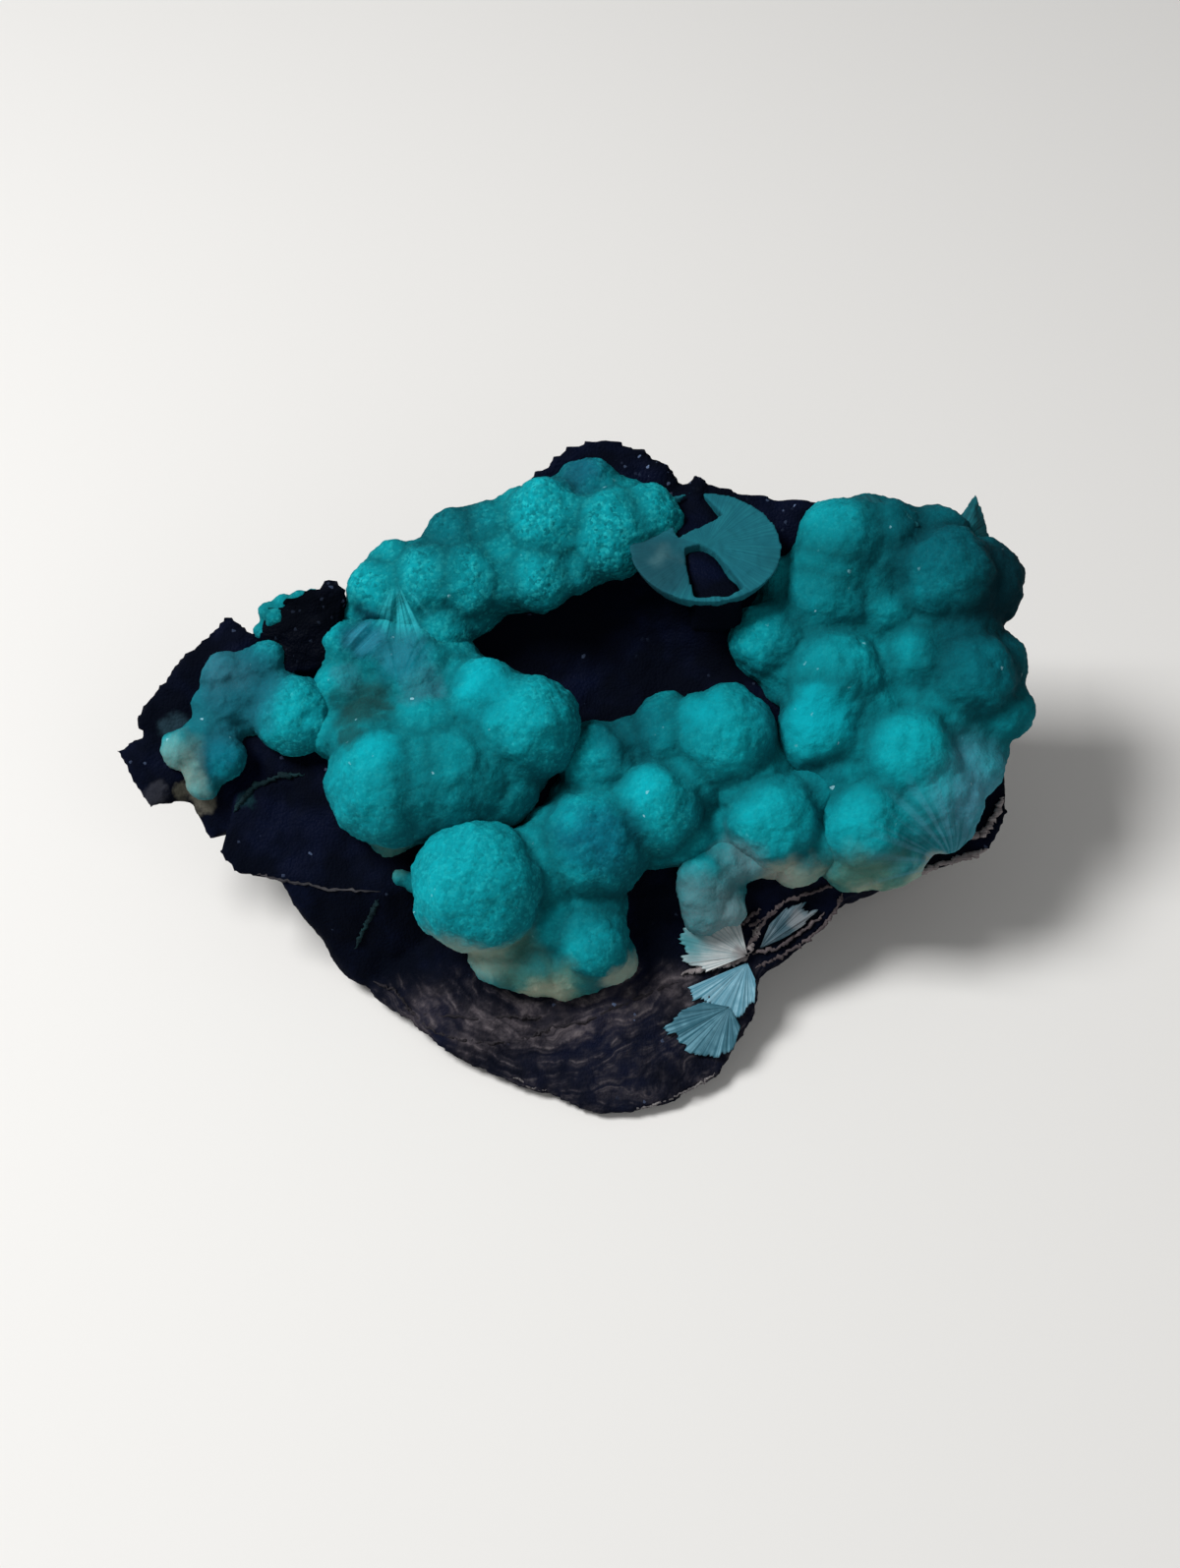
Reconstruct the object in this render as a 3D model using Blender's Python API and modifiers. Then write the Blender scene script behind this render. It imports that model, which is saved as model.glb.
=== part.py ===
"""Wavellite on black rock: round balls of green wavellite grown over the sloping face of a dark broken stone.

Run with: blender --background --python part.py
The stone rests on a flat underside at Z 0. Its crystal face slopes down towards -Y, and the origin is a
point of that underside. The tables below are in millimetres and degrees, and the objects are in metres.
"""

import math

import bmesh
import bpy
from mathutils import Matrix, Vector

MM = 0.001

# The bed is the sloping plane that the crystals grow on: its slope, and one point of it as (y, z)
BED_SLOPE = 31.5
BED_FRONT = (-17.0, 0.5)

GAP = 0.3
ROCK_VOXEL, CRUST_VOXEL, SPRAY_VOXEL = 0.45, 0.28, 0.12
ROCK_TRIANGLES, CRUST_TRIANGLES, RIM_TRIANGLES, SPRAY_TRIANGLES = 2400, 3700, 160, 170
CHIP_DEPTH, CHIP_SIZE = 0.8, 6.0
GRIT_DEPTH, GRIT_SIZE = 0.4, 1.6
OVERSIZE = 80.0

# Core of the stone: corners of its top, whose height is the bed's, then of its sides and of its foot
CORE_TOP = [
    (-20.0, 0.6), (-20.2, 6.0), (-15.4, 9.0), (-9.7, 11.9), (-6.0, 13.8), (6.6, 15.4), (11.2, 14.7),
    (15.4, 14.3), (23.6, 12.2), (25.4, 8.0), (25.4, 3.0), (24.0, -2.0), (17.0, -5.0), (8.0, -6.2),
    (-2.0, -6.8), (-12.0, -5.0),
]
CORE_SIDE = [(0.0, 17.0, 12.0), (11.0, 16.0, 10.0), (-9.0, 13.4, 9.0), (22.0, 11.5, 8.0), (-18.5, 5.0, 8.0)]
CORE_FOOT = [
    (-14.5, 2.0), (-12.0, 9.0), (-3.0, 13.0), (8.0, 12.5), (16.0, 9.0), (18.5, 1.0), (14.0, -4.0),
    (4.0, -9.0), (-8.0, -8.0), (-12.5, -3.0),
]

# Blocks that stand around the core, each the hull of its corners
FRONT_TERRACE = [
    (-14.2, -8.8, 1.2), (-12.4, -9.1, 1.3), (-11.5, -10.2, 1.3), (-10.7, -11.4, 1.3), (-9.5, -13.1, 1.2),
    (-7.4, -14.2, 1.0), (-5.9, -15.1, 0.9), (-3.8, -15.9, 0.8), (0.7, -17.7, 0.6), (2.3, -17.7, 0.7),
    (4.7, -17.0, 0.8), (7.9, -15.3, 1.2), (8.9, -13.2, 1.7), (10.0, -11.9, 2.3), (10.4, -9.8, 3.5),
    (-9.6, -7.4, 4.0), (0.0, -5.6, 5.8), (9.0, -6.0, 5.6), (-11.5, -7.6, 0.0), (-8.4, -12.2, 0.0),
    (-5.0, -14.4, 0.0), (1.4, -16.9, 0.0), (7.0, -14.4, 0.0), (8.6, -11.0, 0.0), (8.0, -5.0, 0.0),
]
FRONT_RIM = [
    (10.3, -9.8, 3.6), (12.0, -8.9, 4.1), (14.1, -7.4, 5.0), (15.8, -5.4, 6.2), (9.0, -7.0, 5.0),
    (12.0, -5.0, 6.4), (10.6, -8.0, 1.2), (13.6, -5.2, 2.4), (9.0, -4.0, 1.0),
]
FRONT_VEIN = [
    (5.3, -10.0, 3.4), (5.6, -9.4, 3.7), (9.5, -8.9, 4.7), (9.4, -8.4, 4.9), (10.6, -6.4, 6.0),
    (11.1, -6.8, 5.8), (7.4, -9.4, 4.2), (8.0, -8.6, 2.0),
]
LEFT_SLAB = [
    (-22.6, -4.1, 8.4), (-21.4, -5.3, 7.7), (-18.8, -5.6, 7.5), (-12.4, -6.1, 7.2), (-10.6, -5.8, 7.4),
    (-20.6, 2.6, 11.8), (-12.0, 5.0, 13.2), (-20.8, -1.6, 5.8), (-16.0, -2.0, 4.0), (-18.0, 2.0, 5.0),
]
LEFT_FACETS = [
    (-18.8, -5.6, 7.5), (-12.4, -6.1, 7.2), (-10.0, -5.6, 7.2), (-8.8, -6.9, 3.6), (-12.1, -8.4, 2.2),
    (-13.5, -8.8, 1.3), (-14.2, -8.9, 1.2), (-15.5, -7.9, 1.5), (-14.6, -7.0, 0.0), (-12.0, -8.0, 0.0),
    (-9.0, -5.0, 0.0), (-17.0, -3.0, 4.0), (-12.0, -1.0, 0.0),
]
LEFT_BLADE = [
    (-22.2, 8.5, 16.5), (-20.4, 7.4, 15.9), (-24.1, 6.7, 15.3), (-25.5, 5.1, 14.1), (-27.2, 4.0, 13.1),
    (-27.9, 2.5, 12.4), (-20.6, 3.0, 12.6), (-24.4, 2.2, 12.2), (-22.0, 6.6, 12.6), (-26.0, 3.4, 10.8),
    (-19.0, 5.0, 8.0),
]
LEFT_FANG = [
    (-29.0, 1.6, 11.6), (-27.2, 2.0, 12.1), (-27.8, -0.1, 10.6), (-26.8, -1.9, 9.8), (-25.6, -0.8, 10.4),
    (-22.0, 2.6, 12.2), (-27.0, 0.8, 9.4), (-22.0, 0.6, 8.2),
]
LEFT_TOE = [
    (-24.8, -0.6, 9.6), (-23.3, -2.4, 7.5), (-22.0, -2.2, 7.9), (-20.4, -0.1, 10.2), (-20.4, 1.2, 10.6),
    (-23.6, -0.6, 6.4), (-19.0, 1.0, 5.0),
]
DARK_BLOCK = [
    (-20.3, 6.8, 15.7), (-19.8, 8.2, 17.1), (-17.9, 8.5, 17.9), (-15.6, 9.1, 18.6), (-14.6, 8.6, 18.0),
    (-15.9, 5.1, 15.0), (-18.6, 4.8, 14.8), (-19.4, 7.0, 11.0), (-15.0, 8.0, 11.0),
]
BACK_HUMP = [
    (-6.0, 13.8, 19.4), (-3.3, 16.1, 20.9), (-1.5, 17.5, 21.8), (0.4, 17.8, 22.0), (2.1, 17.7, 21.9),
    (4.4, 16.6, 21.3), (5.6, 15.6, 20.6), (0.0, 12.0, 18.0), (0.0, 16.6, 15.0), (-4.0, 12.0, 12.0),
    (5.0, 13.0, 12.0),
]
BACK_KNOB = [
    (5.8, 15.6, 20.2), (6.3, 15.8, 20.9), (7.0, 15.7, 20.9), (7.4, 15.3, 20.2), (6.6, 14.4, 20.4),
    (6.6, 14.4, 17.0),
]
RIGHT_SHELF = [
    (25.3, 2.2, 11.0), (25.5, -1.2, 8.7), (24.6, -3.1, 7.6), (21.7, -4.1, 7.1), (18.1, -5.6, 7.0),
    (15.6, -5.8, 6.4), (25.6, 8.0, 13.6), (24.0, 2.0, 5.6), (17.0, 0.0, 1.6), (16.0, -4.8, 4.0),
]
ROCK_BLOCKS = {
    "front_terrace": FRONT_TERRACE, "front_rim": FRONT_RIM, "front_vein": FRONT_VEIN,
    "left_slab": LEFT_SLAB, "left_facets": LEFT_FACETS, "left_blade": LEFT_BLADE, "left_fang": LEFT_FANG,
    "left_toe": LEFT_TOE, "dark_block": DARK_BLOCK, "back_hump": BACK_HUMP, "back_knob": BACK_KNOB,
    "right_shelf": RIGHT_SHELF,
}

# The bare hollow in the middle of the crystal face: its centre on the bed, then its three half sizes
HOLLOW_AT, HOLLOW_SIZE = (1.2, 5.6), (9.5, 5.4, 2.6)

# Wavellite balls: x, y, radius, and how far the centre stands over the bed in radii
LEFT_BALLS = [
    (-19.7, 5.7, 1.3, 0.5), (-22.3, 5.2, 1.4, 0.2), (-22.0, 3.5, 1.3, 0.2), (-20.6, 4.2, 1.3, 0.1),
    (-17.9, 2.7, 2.5, 0.3), (-22.1, 0.4, 1.6, 0.5), (-21.0, 2.2, 1.4, 0.0), (-24.6, 1.2, 1.4, 0.1),
    (-23.5, 2.2, 1.2, 0.0),
]
BACK_BALLS = [
    (-12.7, 9.2, 2.1, 0.3), (-14.1, 8.2, 1.2, 0.2), (-12.2, 11.1, 1.4, 0.2), (-10.4, 11.4, 1.2, 0.1),
    (-8.3, 12.3, 1.8, 0.2), (-6.2, 12.6, 1.9, 0.2), (-9.8, 9.6, 2.4, 0.4), (-7.5, 9.6, 2.4, 0.4),
    (-2.5, 12.6, 2.8, 0.4), (-3.1, 9.9, 2.3, 0.4), (-5.4, 9.7, 2.0, 0.3), (-1.1, 10.5, 1.9, 0.3),
    (0.0, 15.1, 2.1, 0.2), (1.2, 12.0, 2.9, 0.5), (4.1, 13.1, 2.5, 0.4), (-9.0, 7.3, 1.9, 0.2),
    (-10.8, 7.9, 1.6, 0.2), (-4.4, 14.2, 1.3, 0.1), (4.6, 10.6, 2.0, 0.5),
]
RIGHT_BALLS = [
    (15.4, 11.5, 2.9, 0.4), (14.4, 8.7, 2.8, 0.3), (18.2, 12.0, 2.5, 0.3), (16.9, 13.3, 1.6, 0.2),
    (21.6, 9.4, 3.2, 0.5), (17.8, 8.2, 2.2, 0.3), (10.9, 6.7, 2.5, 0.2), (12.4, 7.6, 2.0, 0.2),
    (14.8, 4.3, 3.1, 0.4), (13.8, 1.3, 2.6, 0.75), (19.9, 5.3, 2.3, 0.55), (22.9, 4.4, 3.0, 0.4),
    (24.9, 3.0, 2.0, 0.2), (22.4, 2.2, 2.2, 0.1), (23.9, 10.0, 2.8, 0.0), (20.1, 8.4, 1.8, 0.2),
    (21.2, 12.3, 2.1, 0.1), (24.9, 5.8, 1.8, 0.1), (12.0, 10.0, 1.8, 0.1),
]
FRONT_RIGHT_BALLS = [
    (19.0, 0.0, 3.1, 0.6), (16.5, -3.3, 2.9, 0.5), (18.1, -4.0, 2.4, 0.0), (15.8, -4.3, 2.1, 0.0),
    (20.8, -2.6, 3.1, 0.3), (22.8, 0.3, 2.3, 0.0),
]
CENTRE_BALLS = [
    (8.1, 1.0, 3.2, 0.55), (6.8, 1.5, 2.0, 1.1), (4.8, 1.6, 2.5, 0.3), (0.7, 0.4, 2.7, 0.1),
    (2.5, 1.2, 2.1, 0.1), (4.0, -2.6, 2.8, 0.6), (0.2, -4.4, 3.4, 0.4), (-2.3, -3.5, 2.1, 0.3),
    (5.9, -3.4, 2.0, 0.1), (11.0, -3.1, 2.9, 0.5), (12.6, -4.2, 2.0, 0.1), (11.2, 0.9, 1.9, 0.0),
]
ARM_BALLS = [
    (11.0, -4.8, 1.5, 0.2), (9.0, -5.0, 1.7, 0.3), (7.3, -5.9, 1.8, 0.4), (7.0, -7.3, 1.7, 0.4),
    (8.5, -7.4, 1.2, 0.2), (7.4, -9.0, 1.8, 0.1), (6.3, -9.1, 1.2, 0.1),
]
LEFT_MASS_BALLS = [
    (-6.2, 2.7, 2.6, 0.8), (-3.8, 1.2, 3.3, 0.75), (-12.0, -1.3, 3.9, 0.6), (-8.5, -1.2, 3.6, 0.55),
    (-5.7, -1.3, 2.8, 0.4), (-15.1, 4.2, 1.9, 0.2), (-15.2, 1.8, 1.8, 0.3), (-10.4, 4.6, 2.5, 0.3),
    (-14.9, 6.8, 1.7, 0.1), (-12.1, -3.4, 1.1, -0.5), (-12.4, 4.0, 2.0, 0.1),
]
FRONT_BALLS = [
    (-6.6, -7.0, 4.0, 0.6), (0.1, -9.2, 2.3, 0.5), (-3.3, -9.6, 2.1, -0.1), (-1.2, -9.8, 2.1, -0.1),
    (-5.2, -9.0, 2.2, -0.1), (1.1, -9.3, 1.8, -0.1), (-10.4, -5.6, 0.8, -0.2), (-11.4, -5.2, 0.7, -0.2),
]
CRUST_BALLS = (
    LEFT_MASS_BALLS + LEFT_BALLS + BACK_BALLS + RIGHT_BALLS + FRONT_RIGHT_BALLS + CENTRE_BALLS
    + ARM_BALLS + FRONT_BALLS
)
RIM_BALLS = [(-19.9, 7.6, 0.8, 0.1), (-19.6, 8.4, 0.9, 0.4), (-18.7, 8.9, 0.8, 0.6)]

# Between two neighbours the crust is filled by a smaller ball that lies a little deeper
NEIGHBOUR_REACH, FILL_SHARE, FILL_DEPTH = 1.12, 0.74, 0.38

# The ball that is broken open by a level face: centre, radius, how far the face is over the centre, and
# the outlines of its two missing pieces on that face
SPLIT_AT, SPLIT_RADIUS, SPLIT_FACE = (6.9, 11.2, 18.9), 4.4, 1.2
SPLIT_NOTCHES = [
    [(-2.3, 2.3), (-1.9, 3.0), (-1.0, 3.8), (-0.3, 3.6), (0.8, 2.5), (0.0, 1.8), (-1.0, 1.1), (-1.6, 0.7)],
    [(-1.1, -0.1), (-0.5, 0.2), (0.2, 0.1), (1.4, -1.4), (2.1, -2.6), (1.1, -2.9), (-0.6, -3.2), (-0.9, -1.4)],
]

# Balls broken by a flat face: the ball's place in its table, a point on the face, and the way the face looks
BROKEN_BALLS = [
    (FRONT_RIGHT_BALLS[4], (22.6, -3.6, 11.2), (0.62, -0.60, 0.50)),
    (RIGHT_BALLS[14], (26.1, 11.0, 18.2), (0.90, 0.20, 0.40)),
]
STAIN_PIT_AT, STAIN_PIT_RADIUS = (-13.4, 2.8, 15.6), 2.1

# Corners of the broken tip that stands up at the back right of the crystals
BACK_TIP = [
    (22.1, 13.0, 18.9), (24.5, 13.5, 18.8), (23.8, 15.0, 20.0), (24.8, 12.0, 17.6), (22.2, 12.0, 17.8),
    (23.4, 12.6, 19.6), (23.4, 14.2, 18.0),
]

# Sprays of flat blades: start, way of the middle blade, spread, blade length, width, count
STREAKED_SPRAY = ((-14.6, 5.2, 15.6), (0.35, 0.80, 0.0), 100.0, 3.2, 0.7, 7)
FLAKED_SPRAY = ((-11.2, 5.8, 16.2), (0.3, -0.9, 0.0), 150.0, 2.6, 0.8, 7)
UPPER_FAN = ((9.2, -9.5), (-0.50, -0.87, 0.0), 86.0, 3.3, 0.75, 7)
LOWER_FAN = ((6.6, -11.7), (0.16, -0.99, 0.0), 112.0, 3.2, 0.75, 8)
SIDE_FAN = ((10.6, -8.2), (0.81, 0.59, 0.0), 34.0, 3.9, 0.7, 5)
BLADE_THICKNESS, BLADE_STAGGER, FAN_LIFT = 0.5, 0.12, 0.45

CRYSTAL_GREEN = (0.045, 0.400, 0.320, 1.0)
BROKEN_GREEN = (0.220, 0.480, 0.440, 1.0)
ROCK_BLACK = (0.018, 0.017, 0.020, 1.0)


def millimetres(point):
    """The point, given in millimetres, as a vector in metres."""
    return Vector(point) * MM


def bed_height(y):
    """Height of the bed at depth y, both in millimetres."""
    return BED_FRONT[1] + (y - BED_FRONT[0]) * math.tan(math.radians(BED_SLOPE))


def bed_normal():
    slope = math.radians(BED_SLOPE)
    return Vector((0.0, -math.sin(slope), math.cos(slope)))


def seat(row):
    """Centre and radius of a ball row, whose height is measured from the bed."""
    x, y, radius, rise = row
    return Vector((x, y, bed_height(y) + rise * radius)), radius


def clear_scene():
    for obj in list(bpy.data.objects):
        bpy.data.objects.remove(obj)


def make_material(name, colour, roughness):
    material = bpy.data.materials.new(name)
    material.use_nodes = True
    shader = material.node_tree.nodes["Principled BSDF"]
    shader.inputs["Base Color"].default_value = colour
    shader.inputs["Roughness"].default_value = roughness
    shader.inputs["Metallic"].default_value = 0.0
    return material


def new_collection(name):
    collection = bpy.data.collections.new(name)
    bpy.context.scene.collection.children.link(collection)
    return collection


def object_from(builder, name, collection):
    """A new object in the collection, holding the mesh of the builder."""
    mesh = bpy.data.meshes.new(name)
    builder.to_mesh(mesh)
    builder.free()
    obj = bpy.data.objects.new(name, mesh)
    collection.objects.link(obj)
    return obj


def as_tool(obj):
    """Marks a cutter or a shape that is joined into another, so that it isn't a part of its own."""
    obj.hide_render = True
    obj.display_type = "WIRE"
    return obj


def hull(name, corners, collection):
    """A block with flat sides: the convex hull of its corners, given in metres."""
    builder = bmesh.new()
    for corner in corners:
        builder.verts.new(corner)
    made = bmesh.ops.convex_hull(builder, input=builder.verts)
    inner = [v for v in made["geom_interior"] if isinstance(v, bmesh.types.BMVert)]
    bmesh.ops.delete(builder, geom=inner, context="VERTS")
    bmesh.ops.recalc_face_normals(builder, faces=builder.faces)
    return object_from(builder, name, collection)


def add_ball(builder, centre, radius, fineness=3):
    """Adds a faceted ball to the builder. Centre and radius are in millimetres."""
    place = Matrix.Translation(millimetres(centre))
    bmesh.ops.create_icosphere(builder, subdivisions=fineness, radius=radius * MM, matrix=place)


def ball(name, centre, radius, collection):
    builder = bmesh.new()
    add_ball(builder, centre, radius)
    return object_from(builder, name, collection)


def box(name, size, place, collection):
    """A cube of the given side in millimetres, whose middle is at the place matrix."""
    builder = bmesh.new()
    bmesh.ops.create_cube(builder, size=size * MM, matrix=place)
    return object_from(builder, name, collection)


def half_space(name, point, way, tools):
    """A big box that removes all that lies past a plane."""
    out = Vector(way).normalized()
    turn = out.to_track_quat("Z", "Y").to_matrix().to_4x4()
    place = Matrix.Translation(millimetres(point) + out * OVERSIZE / 2 * MM) @ turn
    return as_tool(box(name, OVERSIZE, place, tools))


def boolean(obj, operation, other):
    """Adds an exact Boolean with another object, or with every object of a collection."""
    modifier = obj.modifiers.new(operation.lower(), "BOOLEAN")
    modifier.operation = operation
    modifier.solver = "EXACT"
    if isinstance(other, bpy.types.Collection):
        modifier.operand_type = "COLLECTION"
        modifier.collection = other
    else:
        modifier.object = other


def one_skin(obj, voxel):
    """Grows touching bodies into one even skin."""
    modifier = obj.modifiers.new("one_skin", "REMESH")
    modifier.mode = "VOXEL"
    modifier.voxel_size = voxel * MM


def roughen(obj, name, kind, depth, size):
    """Pushes the surface in and out by a procedural texture, as broken stone is uneven."""
    texture = bpy.data.textures.new(name, kind)
    texture.noise_scale = size * MM
    modifier = obj.modifiers.new(name, "DISPLACE")
    modifier.texture = texture
    modifier.texture_coords = "LOCAL"
    modifier.strength = depth * MM
    modifier.mid_level = 0.5


def settle(obj):
    """Applies every modifier of the object to its mesh."""
    graph = bpy.context.evaluated_depsgraph_get()
    mesh = bpy.data.meshes.new_from_object(obj.evaluated_get(graph))
    obj.modifiers.clear()
    obj.data = mesh


def thin_out(obj, triangles):
    """Decimates the object to about that many triangles."""
    now = sum(len(face.vertices) - 2 for face in obj.data.polygons)
    modifier = obj.modifiers.new("thin_out", "DECIMATE")
    modifier.ratio = min(1.0, triangles / now)
    modifier.use_collapse_triangulate = True
    settle(obj)


def keep_main_body(obj):
    """Removes crumbs that a cut leaves apart from the main body."""
    builder = bmesh.new()
    builder.from_mesh(obj.data)
    left = set(builder.verts)
    bodies = []
    while left:
        front = [left.pop()]
        body = set(front)
        while front:
            for edge in front.pop().link_edges:
                for vert in edge.verts:
                    if vert in left:
                        left.remove(vert)
                        body.add(vert)
                        front.append(vert)
        bodies.append(body)
    bodies.sort(key=len)
    for body in bodies[:-1]:
        bmesh.ops.delete(builder, geom=list(body), context="VERTS")
    builder.to_mesh(obj.data)
    builder.free()


def finish_solid(obj, material):
    settle(obj)
    keep_main_body(obj)
    obj.data.materials.clear()
    obj.data.materials.append(material)


def room_for(obj, tools):
    """The object grown by the gap, which cuts room for it from what touches it."""
    cutter = bpy.data.objects.new(obj.name + "_and_gap", obj.data.copy())
    tools.objects.link(cutter)
    swell = cutter.modifiers.new("gap", "DISPLACE")
    swell.strength = GAP * MM
    swell.mid_level = 0.0
    settle(cutter)
    return as_tool(cutter)


def make_rock(parts, tools, material):
    """The black stone: a core and the blocks around it, grown together, chipped, and flat underneath."""
    corners = [(x, y, bed_height(y)) for x, y in CORE_TOP] + CORE_SIDE + [(x, y, 0.0) for x, y in CORE_FOOT]
    rock = hull("matrix", [millimetres(c) for c in corners], parts)
    blocks = new_collection("rock_blocks")
    for name, block in ROCK_BLOCKS.items():
        as_tool(hull(name, [millimetres(c) for c in block], blocks))
    boolean(rock, "UNION", blocks)
    hollow = as_tool(ball("hollow", (0.0, 0.0, 0.0), 1.0, tools))
    hollow.location = millimetres((*HOLLOW_AT, bed_height(HOLLOW_AT[1])))
    hollow.rotation_euler.x = math.radians(BED_SLOPE)
    hollow.scale = HOLLOW_SIZE
    boolean(rock, "DIFFERENCE", hollow)
    one_skin(rock, ROCK_VOXEL)
    roughen(rock, "chips", "VORONOI", CHIP_DEPTH, CHIP_SIZE)
    roughen(rock, "grit", "CLOUDS", GRIT_DEPTH, GRIT_SIZE)
    settle(rock)
    thin_out(rock, ROCK_TRIANGLES)
    boolean(rock, "DIFFERENCE", half_space("ground", (0.0, 0.0, 0.0), (0.0, 0.0, -1.0), tools))
    finish_solid(rock, material)
    return rock


def make_spray(name, sprays, across, collection):
    """Flat four-sided blades that spread from each spray's start in the plane across it, as one body."""
    builder = bmesh.new()
    for start, way, spread, length, width, count in sprays:
        middle = (Vector(way) - across * across.dot(Vector(way))).normalized()
        for i in range(count):
            share = i / (count - 1) - 0.5
            along = Matrix.Rotation(math.radians(spread * share), 3, across) @ middle
            side = across.cross(along).normalized()
            reach = length * (1.0 - 0.16 * (i % 2)) * (1.0 - 0.2 * abs(share))
            middle_point = Vector(start) + along * reach / 2 + across * BLADE_STAGGER * (i % 2)
            turned = Matrix((side, across, along)).transposed().to_4x4()
            flat = Matrix.Diagonal((1.0, BLADE_THICKNESS, 1.0, 1.0))
            bmesh.ops.create_cone(
                builder, cap_ends=True, segments=4, radius1=width * 0.3 * MM, radius2=width * MM,
                depth=reach * MM, matrix=Matrix.Translation(millimetres(middle_point)) @ turned @ flat,
            )
    spray = object_from(builder, name, collection)
    one_skin(spray, SPRAY_VOXEL)
    settle(spray)
    thin_out(spray, SPRAY_TRIANGLES * len(sprays))
    return spray


def on_rock(rock, x, y):
    """The point of the rock's upper surface over x and y, in millimetres."""
    hit, place, _, _ = rock.ray_cast(millimetres((x, y, OVERSIZE)), Vector((0.0, 0.0, -1.0)))
    if not hit:
        raise ValueError(f"no rock under {x}, {y}")
    return place / MM


def make_fan(name, sprays, rock, cutters, parts, material):
    """Sprays that lie side by side on the rock's surface, grown into one solid."""
    laid = []
    normals = Vector()
    for (x, y), way, spread, length, width, count in sprays:
        start = on_rock(rock, x, y)
        ends = []
        for turn in (-0.5, 0.5):
            to = Matrix.Rotation(math.radians(spread * turn), 3, "Z") @ Vector(way).normalized() * length / 2
            ends.append(on_rock(rock, x + to.x, y + to.y))
        normal = (ends[0] - start).cross(ends[1] - start).normalized()
        normals += normal
        laid.append((start + normal * FAN_LIFT, way, spread, length, width, count))
    fan = make_spray(name, laid, normals.normalized(), parts)
    for cutter in cutters:
        boolean(fan, "DIFFERENCE", cutter)
    finish_solid(fan, material)
    return fan


def with_fillers(rows):
    """Centre and radius of every ball, and of a smaller and deeper one between each two neighbours."""
    seats = [seat(row) for row in rows]
    fillers = []
    for i, (one, one_radius) in enumerate(seats):
        for other, other_radius in seats[i + 1:]:
            small = min(one_radius, other_radius)
            if (one - other).length < NEIGHBOUR_REACH * (one_radius + other_radius):
                share = one_radius / (one_radius + other_radius)
                middle = one.lerp(other, share) - bed_normal() * FILL_DEPTH * small
                fillers.append((middle, FILL_SHARE * small))
    return seats + fillers


def make_split_ball(tools):
    """The ball that is broken open by a flat face, before its missing pieces are cut out."""
    middle = Vector(SPLIT_AT)
    up = Vector((0.0, 0.0, 1.0))
    split = ball("split_ball", middle, SPLIT_RADIUS, tools)
    boolean(split, "DIFFERENCE", half_space("split_face", middle + up * SPLIT_FACE, up, tools))
    notches = []
    for i, outline in enumerate(SPLIT_NOTCHES):
        depths = (-SPLIT_RADIUS, SPLIT_RADIUS)
        corners = [millimetres(middle + Vector((x, y, z))) for x, y in outline for z in depths]
        notches.append(as_tool(hull(f"split_notch_{i}", corners, tools)))
    return as_tool(split), notches


def make_broken_ball(index, row, point, way, tools):
    """A ball that lost a side to a flat break."""
    broken = ball(f"broken_ball_{index}", *seat(row), tools)
    boolean(broken, "DIFFERENCE", half_space(f"broken_face_{index}", point, way, tools))
    return as_tool(broken)


def make_crust(rock_room, parts, tools, material):
    """All wavellite balls that touch one another, as one solid that fits the rock."""
    broken_rows = [row for row, _, _ in BROKEN_BALLS]
    builder = bmesh.new()
    for centre, radius in with_fillers([row for row in CRUST_BALLS if row not in broken_rows]):
        add_ball(builder, centre, radius)
    crust = object_from(builder, "wavellite_crust", parts)
    one_skin(crust, CRUST_VOXEL)
    settle(crust)
    thin_out(crust, CRUST_TRIANGLES)
    for i, (row, point, way) in enumerate(BROKEN_BALLS):
        boolean(crust, "UNION", make_broken_ball(i, row, point, way, tools))
    pit = as_tool(ball("stain_pit", STAIN_PIT_AT, STAIN_PIT_RADIUS, tools))
    boolean(crust, "DIFFERENCE", pit)
    for name, spray in (("streaks", STREAKED_SPRAY), ("flakes", FLAKED_SPRAY)):
        boolean(crust, "UNION", as_tool(make_spray(name, [spray], bed_normal(), tools)))
    boolean(crust, "UNION", as_tool(hull("back_tip", [millimetres(c) for c in BACK_TIP], tools)))
    split, notches = make_split_ball(tools)
    boolean(crust, "UNION", split)
    for notch in notches:
        boolean(crust, "DIFFERENCE", notch)
    boolean(crust, "DIFFERENCE", rock_room)
    finish_solid(crust, material)
    return crust


def make_rim_crust(rock_room, parts, material):
    """The small separate patch of balls behind the dark block."""
    builder = bmesh.new()
    for row in RIM_BALLS:
        add_ball(builder, *seat(row))
    patch = object_from(builder, "rim_crust", parts)
    one_skin(patch, SPRAY_VOXEL)
    settle(patch)
    thin_out(patch, RIM_TRIANGLES)
    boolean(patch, "DIFFERENCE", rock_room)
    finish_solid(patch, material)
    return patch


def main():
    clear_scene()
    parts = new_collection("wavellite")
    tools = new_collection("cutters")
    green = make_material("wavellite_green", CRYSTAL_GREEN, 0.55)
    pale = make_material("broken_crystal", BROKEN_GREEN, 0.35)
    black = make_material("black_rock", ROCK_BLACK, 0.7)
    rock = make_rock(parts, tools, black)
    rock_room = room_for(rock, tools)
    crust = make_crust(rock_room, parts, tools, green)
    make_rim_crust(rock_room, parts, green)
    cutters = [rock_room, room_for(crust, tools)]
    side = make_fan("side_fan", [SIDE_FAN], rock, cutters, parts, pale)
    cutters.append(room_for(side, tools))
    make_fan("front_fan", [UPPER_FAN, LOWER_FAN], rock, cutters, parts, pale)


main()
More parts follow.
